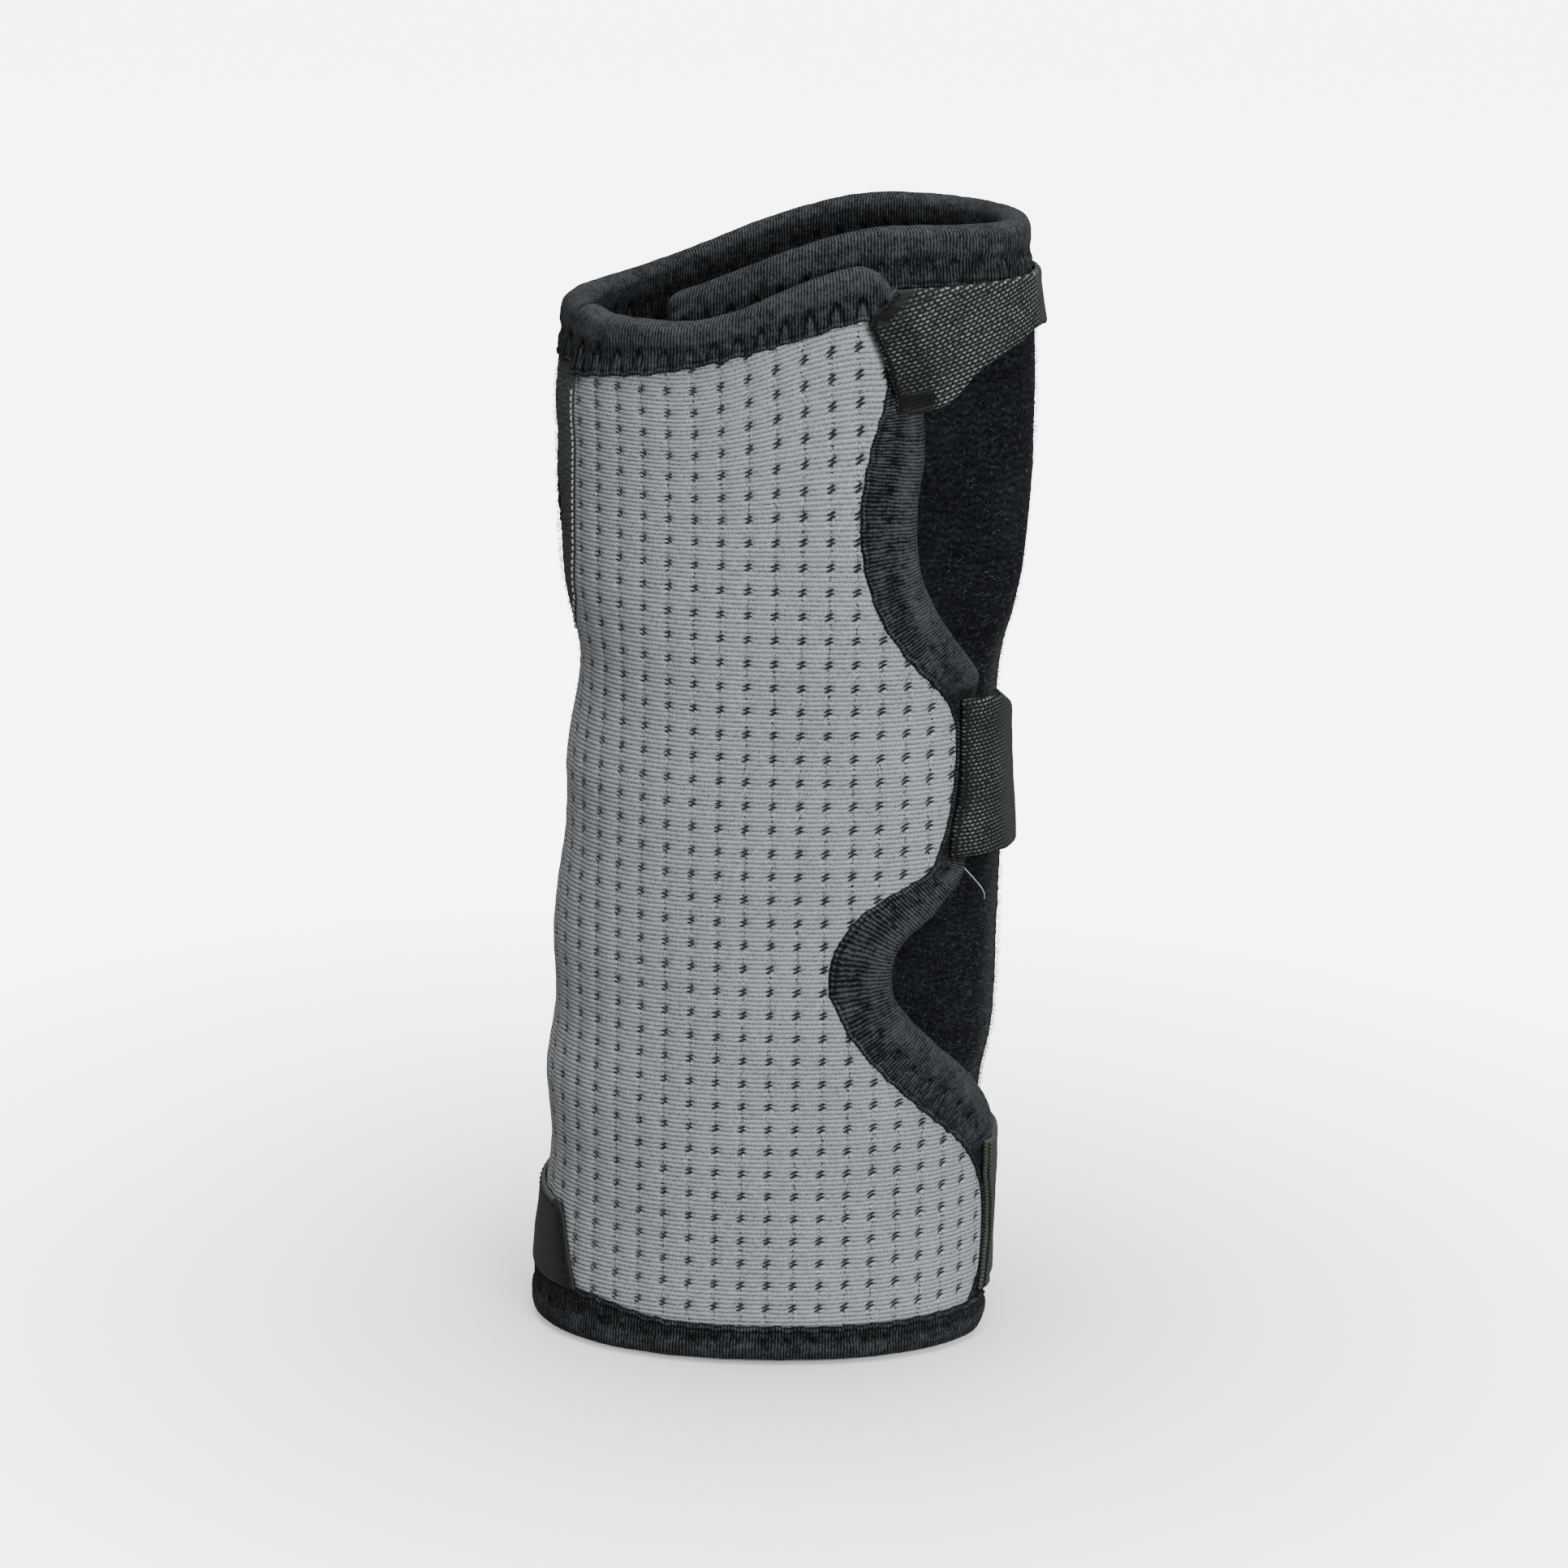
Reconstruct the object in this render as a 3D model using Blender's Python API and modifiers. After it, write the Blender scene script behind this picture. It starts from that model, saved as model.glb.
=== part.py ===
"""Wrap-around wrist guard: padded front panel, loop-faced back panel with under flap, three straps."""
import math

import bmesh
import bpy
from mathutils import Vector

MM = 0.001

# ---- driving dimensions, millimetres unless noted --------------------------------------------
HEIGHT = 202.0            # bottom rim to the highest point of the hand opening
HALF_WIDTH = 41.4         # outer face of the wall, at the two ends
HALF_DEPTH = 27.0
WAIST_DIP = 2.4           # narrowing at the wrist
WAIST_Z = 118.0
SECTION_POWER = 2.25      # superellipse exponent of the flattened tube
LEAN = 4.4                # sideways drift of the tube from bottom to top
SHIFT = (0.348, -0.756)   # puts the middle of the whole part, straps included, on the origin
PINCH_Z = (165.0, 205.0)  # the hand end draws in over this height
PINCH = (2.8, 1.3)        # half width lost, and sideways shift to the left

FACE = 0.8                # outer fabric
PAD = 2.35                # foam bonded to its lining
LAYER_GAP = 0.4
WALL = FACE + LAYER_GAP + PAD
TAPE = 0.75               # binding tape
TAPE_GAP = 0.45           # between tape and wall
LIP = TAPE_GAP + TAPE
PANEL_FOOT = LIP          # panels start this high, the tape fills the rest
FLAP_DEPTH = WALL + 2 * LIP + 0.4   # how far the under flap lies inside the front panel
FLAP_END = -126.0         # degrees, free edge of the under flap
RAMP = 48.0               # degrees over which the flap comes out to the outer wall

STRAP = 1.2
STRAP_RISE = LIP + 0.4    # inner face of a strap above the wall
HOOK = 0.85

THUMB_ANGLE = 141.0
THUMB_Z = 152.0
THUMB_HALF = (11.5, 16.5)

# right-hand edge of the front panel: height against angle round the tube
EDGE = [(-20, 343), (0, 343), (32, 343), (42, 341), (49, 330), (58, 311), (66, 298.5), (72, 296),
        (78, 299), (84, 311), (90, 320), (98, 323), (110, 324), (119, 326), (124, 326), (129, 317),
        (136, 306), (144, 299), (153, 297), (162, 298), (172, 296.8), (183, 294.1), (200, 289.2)]
# seam between the front panel and the back panel, at the left fold: height against angle, straight between
SEAM = [(48.0, 136.0), (126.0, 187.5), (142.0, 199.0), (190.0, 203.5)]
SEAM_GAP = 0.7            # degrees, each side

COLOURS = {
    "grey": ((0.302, 0.320, 0.343, 1), 0.85),
    "loop": ((0.008, 0.009, 0.013, 1), 0.95),
    "lining": ((0.012, 0.012, 0.014, 1), 0.9),
    "binding": ((0.020, 0.022, 0.028, 1), 0.75),
    "elastic": ((0.024, 0.032, 0.031, 1), 0.8),
    "hook": ((0.015, 0.015, 0.016, 1), 0.6),
    "label": ((0.008, 0.008, 0.009, 1), 0.35),
    "stay": ((0.62, 0.63, 0.65, 1), 0.35),
    "tip": ((0.02, 0.02, 0.022, 1), 0.5),
}

PARTS = None


def start():
    """Empty the scene and make the part's collection."""
    global PARTS
    for obj in list(bpy.data.objects):
        bpy.data.objects.remove(obj, do_unlink=True)
    PARTS = bpy.data.collections.new("wrist_guard")
    bpy.context.scene.collection.children.link(PARTS)


def material(kind):
    mat = bpy.data.materials.get(kind)
    if mat is None:
        mat = bpy.data.materials.new(kind)
        mat.use_nodes = True
        bsdf = mat.node_tree.nodes["Principled BSDF"]
        colour, rough = COLOURS[kind]
        bsdf.inputs["Base Color"].default_value = colour
        bsdf.inputs["Roughness"].default_value = rough
        bsdf.inputs["Metallic"].default_value = 1.0 if kind == "stay" else 0.0
    return mat


def seam(z):
    angle = SEAM[0][1]
    for (z0, a0), (z1, a1) in zip(SEAM, SEAM[1:]):
        angle += (a1 - a0) * min(max((z - z0) / (z1 - z0), 0.0), 1.0)
    return angle


def smooth_step(value):
    value = min(max(value, 0.0), 1.0)
    return value * value * (3 - 2 * value)


def along(stations, value):
    """Smooth curve through (position, amount) stations."""
    last = len(stations) - 2
    i = 0
    while i < last and value > stations[i + 1][0]:
        i += 1
    (x0, y0), (x1, y1) = stations[i], stations[i + 1]
    before = stations[max(i - 1, 0)]
    after = stations[min(i + 2, len(stations) - 1)]
    t = min(max((value - x0) / (x1 - x0), 0.0), 1.0)
    m0 = (y1 - before[1]) / max(x1 - before[0], 1e-6) * (x1 - x0)
    m1 = (after[1] - y0) / max(after[0] - x0, 1e-6) * (x1 - x0)
    t2, t3 = t * t, t * t * t
    return (2 * t3 - 3 * t2 + 1) * y0 + (t3 - 2 * t2 + t) * m0 + (3 * t2 - 2 * t3) * y1 + (t3 - t2) * m1


def wall(angle, z, depth):
    """Point of the tube: angle in degrees (0 right, 90 back), depth inwards from the outer face."""
    rad = math.radians(angle)
    half = HALF_WIDTH - math.sin(math.pi * min(max(z / HEIGHT, 0), 1))
    half -= WAIST_DIP * math.exp(-((z - WAIST_Z) / 20) ** 2)
    pinch = smooth_step((z - PINCH_Z[0]) / (PINCH_Z[1] - PINCH_Z[0]))
    half -= PINCH[0] * pinch
    centre = LEAN * (z / HEIGHT - 0.5) + SHIFT[0] - PINCH[1] * pinch
    power = 2 / SECTION_POWER
    c, s = math.cos(rad), math.sin(rad)
    across = math.copysign(abs(c) ** (2 - power), c) / half
    along_y = math.copysign(abs(s) ** (2 - power), s) / HALF_DEPTH
    size = math.hypot(across, along_y)
    x = centre + half * math.copysign(abs(c) ** power, c) - depth * across / size
    y = HALF_DEPTH * math.copysign(abs(s) ** power, s) - depth * along_y / size + SHIFT[1]
    return Vector((x, y, z)) * MM


def pitch(angle, z, depth):
    """Millimetres of wall per degree."""
    step = wall(angle + 1, z, depth) - wall(angle - 1, z, depth)
    return step.length / MM / 2


def shift(angle, distance, z):
    """Angle reached by going a distance along the wall."""
    for _ in range(12):
        angle += distance / 12 / pitch(angle, z, 0)
    return angle


def front_rim(angle):
    x = wall(angle, 190, 0).x / MM
    return 186.2 + 10.3 * smooth_step((x + 20) / 34)


def back_rim(angle):
    x = wall(angle, 190, 0).x / MM
    return 187.0 + (HEIGHT - 187.0) * smooth_step((x + 40) / 60)


def stretch(z, rim):
    """Carry a height on a straight 190 mm panel to the panel's slanting top."""
    top = rim - LIP
    return z + (top - 190.0) * smooth_step((z - 140.0) / 50.0)


def flap_depth(angle, z):
    """Depth of the back panel's outer face: flush round the back, sunk behind the front panel."""
    begin = along([(-10, -14), (40, -15), (58, -30), (125, -33), (140, -55), (200, -60)], z)
    return FLAP_DEPTH * smooth_step((begin + RAMP - angle) / RAMP)


def no_depth(angle, z):
    return 0.0


def finish(name, mesh, kind, smooth=True):
    obj = bpy.data.objects.new(name, mesh)
    PARTS.objects.link(obj)
    mesh.materials.append(material(kind))
    for poly in mesh.polygons:
        poly.use_smooth = smooth
    return obj


def thicken(obj, amount):
    """Give an open surface its thickness, towards the inside of the tube."""
    mod = obj.modifiers.new("thickness", "SOLIDIFY")
    mod.thickness = amount * MM
    mod.offset = -1
    return obj


def sheet(name, rows, kind, thickness, hole=None):
    """Open surface from rows of points, thickened; hole = (rows, columns, ring points)."""
    verts = [p for row in rows for p in row]
    wide = len(rows[0])
    faces = []
    skip_rows, skip_cols, ring = hole if hole else ((0, 0), (0, 0), None)
    for j in range(len(rows) - 1):
        for i in range(wide - 1):
            if skip_rows[0] <= j < skip_rows[1] and skip_cols[0] <= i < skip_cols[1]:
                continue
            a = j * wide + i
            faces.append((a, a + 1, a + wide + 1, a + wide))
    if ring:
        loop, circles = ring
        count = len(loop)
        for points in circles:
            inner = list(range(len(verts), len(verts) + count))
            verts += points
            for k in range(count):
                n = (k + 1) % count
                faces.append((loop[k], loop[n], inner[n], inner[k]))
            loop = inner
    mesh = bpy.data.meshes.new(name)
    mesh.from_pydata(verts, [], faces)
    tidy = bmesh.new()
    tidy.from_mesh(mesh)
    if hole:
        loose = [v for v in tidy.verts if not v.link_faces]
        bmesh.ops.delete(tidy, geom=loose, context="VERTS")
    bmesh.ops.recalc_face_normals(tidy, faces=tidy.faces)
    middle = max(tidy.faces, key=lambda f: abs(f.calc_center_median().y))
    centre = middle.calc_center_median()
    if middle.normal.y * centre.y < 0:
        bmesh.ops.reverse_faces(tidy, faces=tidy.faces)
    tidy.to_mesh(mesh)
    tidy.free()
    return thicken(finish(name, mesh, kind), thickness)


# ---- panels ---------------------------------------------------------------------------------

FRONT_COLS = 18
BACK_COLS = 34


def spread(first, last, count):
    return [first + (last - first) * i / count for i in range(count + 1)]


def levels(stops, counts):
    """Row heights from stop to stop."""
    rows = [stops[0]]
    for low, high, count in zip(stops, stops[1:], counts):
        rows += spread(low, high, count)[1:]
    return rows


# both sets land on every bend of the seam
FRONT_LEVELS = levels((PANEL_FOOT, 32.0, 48.0, 64.0, 92.0, 126.0, 142.0, 190.0), (3, 4, 3, 8, 5, 3, 7))
BACK_LEVELS = levels((PANEL_FOOT, 48.0, 126.0, 142.0, 190.0), (3, 5, 2, 6))


def front_rows(depth):
    rows = []
    for z in FRONT_LEVELS:
        angles = spread(seam(z) + SEAM_GAP, along(EDGE, z), FRONT_COLS)
        rows.append([wall(angle, stretch(z, front_rim(angle)), depth) for angle in angles])
    return rows


def back_angle(t, z):
    left = seam(z) - SEAM_GAP
    return left + (FLAP_END - left) * t


def back_point(t, z, depth):
    angle = back_angle(t, z)
    return wall(angle, stretch(z, back_rim(angle)), depth + flap_depth(angle, z))


def thumb_point(turn, grow, depth):
    """Point on the thumb opening's oval; grow widens it."""
    z = THUMB_Z + (THUMB_HALF[1] + grow) * math.sin(turn)
    across = (THUMB_HALF[0] + grow) * math.cos(turn)
    return wall(shift(THUMB_ANGLE, -across, z), z, depth)


def back_sheet(name, depth, kind, thickness):
    stops = spread(0.0, 1.0, BACK_COLS)
    rows = [[back_point(t, z, depth) for t in stops] for z in BACK_LEVELS]
    low, high = len(BACK_LEVELS) - 9, len(BACK_LEVELS) - 2
    first, last = 2, 10
    wide = len(stops)
    loop = [low * wide + i for i in range(first, last)]
    loop += [j * wide + last for j in range(low, high)]
    loop += [high * wide + i for i in range(last, first, -1)]
    loop += [j * wide + first for j in range(high, low, -1)]
    flat = [p for row in rows for p in row]
    mid_t = (first + last) / 2 / BACK_COLS
    half_t = (last - first) / 2 / BACK_COLS
    turns = []
    for index in loop:
        j, i = divmod(index, wide)
        turns.append(math.atan2((BACK_LEVELS[j] - 154.0) / 28.0, (stops[i] - mid_t) / half_t))
    circles = [[thumb_point(turn, grow, depth) for turn in turns] for grow in (6.0, 2.5, 0.0)]
    return sheet(name, rows, kind, thickness, ((low, high), (first, last), (loop, circles)))


def panels():
    sheet("outer_panel", front_rows(0.0), "grey", FACE)
    sheet("outer_panel_padding", front_rows(FACE + LAYER_GAP), "lining", PAD)
    back_sheet("loop_panel", 0.0, "loop", FACE)
    back_sheet("loop_panel_padding", FACE + LAYER_GAP, "lining", PAD)


# ---- bindings -------------------------------------------------------------------------------

def tape_profile(width):
    """U section over an edge: (distance in from the edge, depth)."""
    half = width / 2
    outer = [(width, -LIP), (half, -LIP), (0.3, -LIP), (-LIP, -0.2)]
    inner = [(-LIP, WALL + 0.2), (0.3, WALL + LIP), (half, WALL + LIP), (width, WALL + LIP)]
    g = TAPE_GAP
    inside = [(width, WALL + g), (half, WALL + g), (-g, WALL + g), (-g, -g), (half, -g), (width, -g)]
    return outer + inner + inside


def sweep(name, rings, kind, closed=False):
    """Closed solid through rings of points."""
    count = len(rings[0])
    verts = [p for ring in rings for p in ring]
    faces = []
    total = len(rings)
    for r in range(total if closed else total - 1):
        a, b = r * count, (r + 1) % total * count
        for k in range(count):
            n = (k + 1) % count
            faces.append((a + k, a + n, b + n, b + k))
    if not closed:
        faces.append(tuple(range(count)))
        faces.append(tuple(reversed(range((total - 1) * count, total * count))))
    mesh = bpy.data.meshes.new(name)
    mesh.from_pydata(verts, [], faces)
    tidy = bmesh.new()
    tidy.from_mesh(mesh)
    bmesh.ops.triangulate(tidy, faces=[f for f in tidy.faces if len(f.verts) > 4])
    bmesh.ops.recalc_face_normals(tidy, faces=tidy.faces)
    tidy.to_mesh(mesh)
    tidy.free()
    return finish(name, mesh, kind, smooth=False)


def rim_tape(name, angles, width, rim, depth_of, upward):
    """Tape over a top or bottom rim; rim(angle) is the panel's cut edge."""
    rings = []
    for angle in angles:
        z = rim(angle)
        side = -1 if upward else 1
        rings.append([wall(angle, z + side * w, d + depth_of(angle, z + side * w))
                      for w, d in tape_profile(width)])
    return sweep(name, rings, "binding")


def even_path(low, high, count):
    """Heights giving even spacing along the front panel's edge."""
    fine = spread(low, high, 400)
    total = [0.0]
    for a, b in zip(fine, fine[1:]):
        step = wall(along(EDGE, b), b, 0) - wall(along(EDGE, a), a, 0)
        total.append(total[-1] + step.length)
    picks = []
    k = 0
    for i in range(count + 1):
        goal = total[-1] * i / count
        while k < 399 and total[k + 1] < goal:
            k += 1
        picks.append(fine[k] if i < count else high)
    return picks


def edge_tape(name, path, width):
    """Tape along the scalloped right edge of the front panel."""
    rings = []
    for z in path:
        angle = along(EDGE, z)
        per = pitch(angle, z, 0)
        slope = (along(EDGE, z + 0.8) - along(EDGE, z - 0.8)) * per / 1.6
        size = math.hypot(1.0, slope)
        across, down = -1.0 / size, slope / size
        ring = []
        for w, d in tape_profile(width):
            there = angle + across * w / pitch(angle + across * w / per / 2, z, 0)
            up = z + down * w
            ring.append(wall(there, stretch(up, front_rim(there)), d))
        rings.append(ring)
    return sweep(name, rings, "binding")


def flap_tape():
    """Tape down the free edge of the under flap."""
    rings = []
    per = pitch(FLAP_END, 100, FLAP_DEPTH)
    for z in [8.6] + BACK_LEVELS[1:-2] + [178.3]:
        rings.append([wall(FLAP_END + w / per, z, d + FLAP_DEPTH) for w, d in tape_profile(8.0)])
    return sweep("flap_end_binding", rings, "binding")


def thumb_tape():
    rings = []
    for k in range(28):
        turn = 2 * math.pi * k / 28
        rings.append([thumb_point(turn, w, d) for w, d in tape_profile(5.5)])
    return sweep("thumb_binding", rings, "binding", closed=True)


def bindings():
    foot = lambda angle: PANEL_FOOT
    seam_top, seam_foot = seam(190), seam(0)
    corner = along(EDGE, 190)
    rim_tape("front_top_binding", spread(seam_top + SEAM_GAP, corner, FRONT_COLS), 10.5,
             lambda angle: front_rim(angle) - LIP, no_depth, True)
    rim_tape("front_bottom_binding", spread(seam_foot + SEAM_GAP, 342.5, FRONT_COLS), 6.6, foot, no_depth, False)
    rim_tape("back_top_binding", spread(seam_top - SEAM_GAP, FLAP_END, BACK_COLS), 9.5,
             lambda angle: back_rim(angle) - LIP, flap_depth, True)
    rim_tape("back_bottom_binding", spread(seam_foot - SEAM_GAP, FLAP_END, BACK_COLS), 6.6, foot, flap_depth, False)
    edge_tape("upper_scallop_binding", even_path(122.5, 178.5, 16), 8.6)
    edge_tape("lower_scallop_binding", even_path(46.0, 87.0, 16), 8.6)
    edge_tape("middle_tab_edging", [90.0] + [z for z in FRONT_LEVELS if 91 < z < 121] + [121.0], 2.6)
    edge_tape("bottom_tab_edging", [9.5] + [z for z in FRONT_LEVELS if 10 < z < 43] + [43.0], 2.6)
    flap_tape()
    thumb_tape()


# ---- straps ---------------------------------------------------------------------------------

# name, root angles at the lower and upper edge, end angle, lower edge and upper edge along the way,
# steps along the strap, angle where it is past the bound edge it is sewn on, its rise from there on
STRAPS = [
    ("top", (297.3, 292.8), 455.0, [(290, 172), (300, 173), (335, 182), (400, 177), (455, 165)],
     [(290, 192), (300, 193), (335, 195), (400, 192), (455, 181)], 14, 300.0, STRAP_RISE),
    ("middle", (318.0, 321.5), 432.0, [(300, 92), (450, 92)], [(300, 119.5), (450, 119.5)], 18, 328.5, 0.5),
    ("bottom", (344.0, 344.0), 436.0, [(300, 9.5), (450, 9.5)], [(300, 37), (450, 37)], 18, 347.0, 0.5),
]
HOOK_SPAN = 34.0


def strap_rise(strap, angle):
    """Height of a strap's inner face: over the bound edge at its root, low after it, over the hooks."""
    end, clear, low = strap[2], strap[6], strap[7]
    root = 1.0 - smooth_step((angle - clear) / 9)
    hooks = smooth_step((angle - end + HOOK_SPAN + 14) / 10)
    return low + (STRAP_RISE - low) * max(root, hooks)


def strap_rows(strap, roots, count, lift, inset):
    """Outer face of a strap or hook tab; lift is a function of the angle."""
    lower, upper, end = strap[3], strap[4], strap[2]
    rows = []
    for t in spread(0.0, 1.0, 4):
        row = []
        for angle in spread(roots[0] + (roots[1] - roots[0]) * t, end, count):
            low, high = along(lower, angle) + inset, along(upper, angle) - inset
            row.append(wall(angle, low + (high - low) * t, -lift(angle)))
        rows.append(row)
    return rows


def straps():
    for strap in STRAPS:
        name, roots, end, count = strap[0], strap[1], strap[2], strap[5]
        rows = strap_rows(strap, roots, count, lambda angle: strap_rise(strap, angle) + STRAP, 0.0)
        sheet(name + "_strap", rows, "elastic", STRAP)
        start_at = (end - HOOK_SPAN, end - HOOK_SPAN)
        hook_rows = strap_rows(strap, start_at, 4, lambda angle: 0.35 + HOOK, 0.6)
        sheet(name + "_hook_tab", hook_rows, "hook", HOOK)


# ---- label, seam tape, stay -----------------------------------------------------------------

def wall_patch(name, angles, heights, depth, kind, thickness):
    rows = [[wall(angle(z) if callable(angle) else angle, z, depth) for angle in angles] for z in heights]
    return sheet(name, rows, kind, thickness)


def label():
    wall_patch("side_label", spread(148.0, 212.0, 10), spread(9.4, 30.0, 4), -0.85, "label", 0.5)


def seam_tape():
    """Flat tape covering the butt seam on the inside."""
    rows = []
    for z in [9.4] + BACK_LEVELS[2:-3] + [171.0]:
        middle = seam(z)
        per = pitch(middle, z, WALL)
        rows.append([wall(middle + across / per, z, WALL + 0.6) for across in (-3.0, 0.0, 3.0)])
    return sheet("side_seam_tape", rows, "lining", 0.6)


def block(name, size, centre, kind, bevel=0.0):
    mesh = bpy.data.meshes.new(name)
    build = bmesh.new()
    bmesh.ops.create_cube(build, size=1.0)
    bmesh.ops.scale(build, vec=Vector(size) * MM, verts=build.verts)
    if bevel:
        upright = [e for e in build.edges if abs(e.verts[0].co.y - e.verts[1].co.y) > 1e-6]
        bmesh.ops.bevel(build, geom=upright, offset=bevel * MM, segments=4, affect="EDGES", profile=0.5)
    build.to_mesh(mesh)
    build.free()
    obj = finish(name, mesh, kind, smooth=False)
    obj.location = Vector(centre) * MM
    return obj


STAY = (18.0, 1.4, 146.0)
STAY_X = 1.85
STAY_Y = 19.8
STAY_Z = 96.0
TIP = 9.0


def stay():
    """Removable splint with dipped ends, in a pocket sewn to the inside of the back."""
    long = STAY[2] - 2 * TIP - 0.6
    block("palm_stay", (STAY[0], STAY[1], long), (STAY_X, STAY_Y, STAY_Z), "stay")
    offset = long / 2 + 0.3 + TIP / 2
    for name, side in (("stay_tip_top", 1), ("stay_tip_bottom", -1)):
        block(name, (STAY[0] + 0.6, STAY[1] + 0.4, TIP), (STAY_X, STAY_Y, STAY_Z + side * offset), "tip", 3.5)


def pocket():
    """Hat-section pocket, open at the top and closed under the stay."""
    foot, head = 15.0, STAY_Z + STAY[2] / 2 - 4.0
    near, far = STAY_Y - 1.9, STAY_Y - 1.25
    half = STAY[0] / 2 + 0.9
    flange = [(-13.0, 20.1), (-half - 0.7, 20.4), (-half - 0.7, near + 0.7), (-half, near)]
    outer = flange + [(-x, y) for x, y in reversed(flange)]
    inner = [(13.0, 20.7), (half, 21.1), (half, far), (-half, far), (-half, 21.1), (-13.0, 20.7)]
    rings = []
    for z in (foot, head):
        rings.append([Vector((x + STAY_X, y, z)) * MM for x, y in outer + inner])
    return sweep("stay_pocket", rings, "lining")


def pocket_stop():
    """Stitched turn-up that closes the pocket under the stay."""
    block("pocket_stop", (STAY[0] - 2.0, 1.2, 4.0), (STAY_X, STAY_Y, 18.0), "lining")


start()
panels()
bindings()
straps()
label()
seam_tape()
stay()
pocket()
pocket_stop()
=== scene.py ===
import math
from collections import namedtuple

import bmesh
import bpy
import numpy as np
from mathutils import Euler, Matrix, Vector


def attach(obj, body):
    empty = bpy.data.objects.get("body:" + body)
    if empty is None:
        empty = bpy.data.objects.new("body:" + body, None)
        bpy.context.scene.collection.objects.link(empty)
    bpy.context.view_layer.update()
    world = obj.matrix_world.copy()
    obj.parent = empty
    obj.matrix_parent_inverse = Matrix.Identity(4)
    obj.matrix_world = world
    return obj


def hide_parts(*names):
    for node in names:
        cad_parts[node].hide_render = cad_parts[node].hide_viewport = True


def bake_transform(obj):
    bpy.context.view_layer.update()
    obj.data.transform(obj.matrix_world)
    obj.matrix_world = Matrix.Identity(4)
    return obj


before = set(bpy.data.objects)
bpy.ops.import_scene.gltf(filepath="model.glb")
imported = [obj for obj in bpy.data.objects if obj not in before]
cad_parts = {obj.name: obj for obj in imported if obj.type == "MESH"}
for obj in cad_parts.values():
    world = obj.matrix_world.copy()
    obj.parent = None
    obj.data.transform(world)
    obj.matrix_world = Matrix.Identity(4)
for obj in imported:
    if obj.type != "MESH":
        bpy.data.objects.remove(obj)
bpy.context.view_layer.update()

RNG = np.random.default_rng(20)
MM = 0.001

# ---- the guard's own dimensions, in millimetres and degrees ----
HEIGHT, HALF_WIDTH, HALF_DEPTH = 202.0, 41.4, 27.0
WAIST_DIP, WAIST_Z, WAIST_SPREAD = 2.4, 118.0, 20.0
SECTION_POWER, LEAN = 2.25, 4.4
SHIFT = (0.348, -0.756)
PINCH_Z, PINCH = (165.0, 205.0), (2.8, 1.3)
FACE, PAD, LAYER_GAP = 0.8, 2.35, 0.4
WALL = FACE + LAYER_GAP + PAD
LIP = 1.2
FLAP_DEPTH = WALL + 2 * LIP + 0.4
FLAP_END, RAMP = -126.0, 48.0
FLAP_BEGIN = [(-10, -14), (40, -15), (58, -30), (125, -33), (140, -55), (200, -60)]
THUMB_ANGLE, THUMB_Z, THUMB_HALF = 141.0, 152.0, (11.5, 16.5)
FLAT_FOOT, FLAT_TOP = LIP + 0.2, 190.0      # a panel's flat pattern, before stretch() fits it to its rim
FRONT_RIM, FRONT_RISE = 186.2, 10.3         # the hand-end rims climb from left to right
BACK_RIM = 187.0
SEAM_GAP = 0.5                              # each panel stops this far short of the left seam, in degrees
# (height, angle) along the scalloped edge and along the left seam
EDGE = [(-20, 343), (0, 343), (32, 343), (42, 341), (49, 330), (58, 311), (66, 298.5), (72, 296),
        (78, 299), (84, 311), (90, 320), (98, 323), (110, 324), (119, 326), (124, 326), (129, 317),
        (136, 306), (144, 299), (153, 297), (162, 298), (172, 296.8), (183, 294.1), (200, 289.2)]
SEAM = [(48, 136), (118, 181), (128, 189), (135, 200.4), (144, 203.9), (165, 205.2), (190, 203.5)]
SEAM_FOOT, SEAM_TOP = SEAM[0][1], SEAM[-1][1]
COLUMN, ROW = 4.65, 4.2                     # spacing of the dimples
# soft hollows and swellings: (height, outward) down the left side, and one bulge at the right
LEFT_SWELL = [(0, 0), (11, 0), (22, -0.7), (33, -1.55), (40, -0.85), (47, -0.1), (58, -1.15), (63, -1.0),
              (72, -0.3), (79, -0.7), (90, -1.6), (97, -1.1), (106, 0.08), (124, -1.6), (131, -0.7),
              (138, 0.38), (150, 0.6), (162, 0.85), (170, 1.2), (182, 0.35), (190, 0), (202, 0)]
RIGHT_SWELL, RIGHT_SWELL_Z, RIGHT_SWELL_SPREAD = 0.45, 184.0, 8.0
# where the grey knit ends: (height, angle) at its right, (angle, height) at its top and foot
GREY_RIGHT = [(0, 330), (7, 331), (10.5, 335.9), (14, 338.5), (24, 338.9), (30, 335.7), (38, 325.4),
              (46, 309.3), (54, 295.5), (62, 286), (72, 280.8), (81, 285.3), (86, 294.2), (90, 307),
              (94, 311.1), (101, 315.4), (110, 318.2), (116, 317.8), (121, 312.9), (129, 298.5),
              (138, 288.7), (151, 283.7), (163, 285.1), (173, 289.1), (182, 286.2), (188, 282.5),
              (200, 282.5)]
GREY_TOP = [(195, 174.4), (225, 176.3), (243, 178.2), (264, 182.4), (280, 186.9), (300, 188.5)]
GREY_FOOT = [(130, 7.6), (197, 9.8), (225, 9.4), (246, 7.3), (270, 6.8), (331, 7.1), (343, 7.6)]


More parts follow.
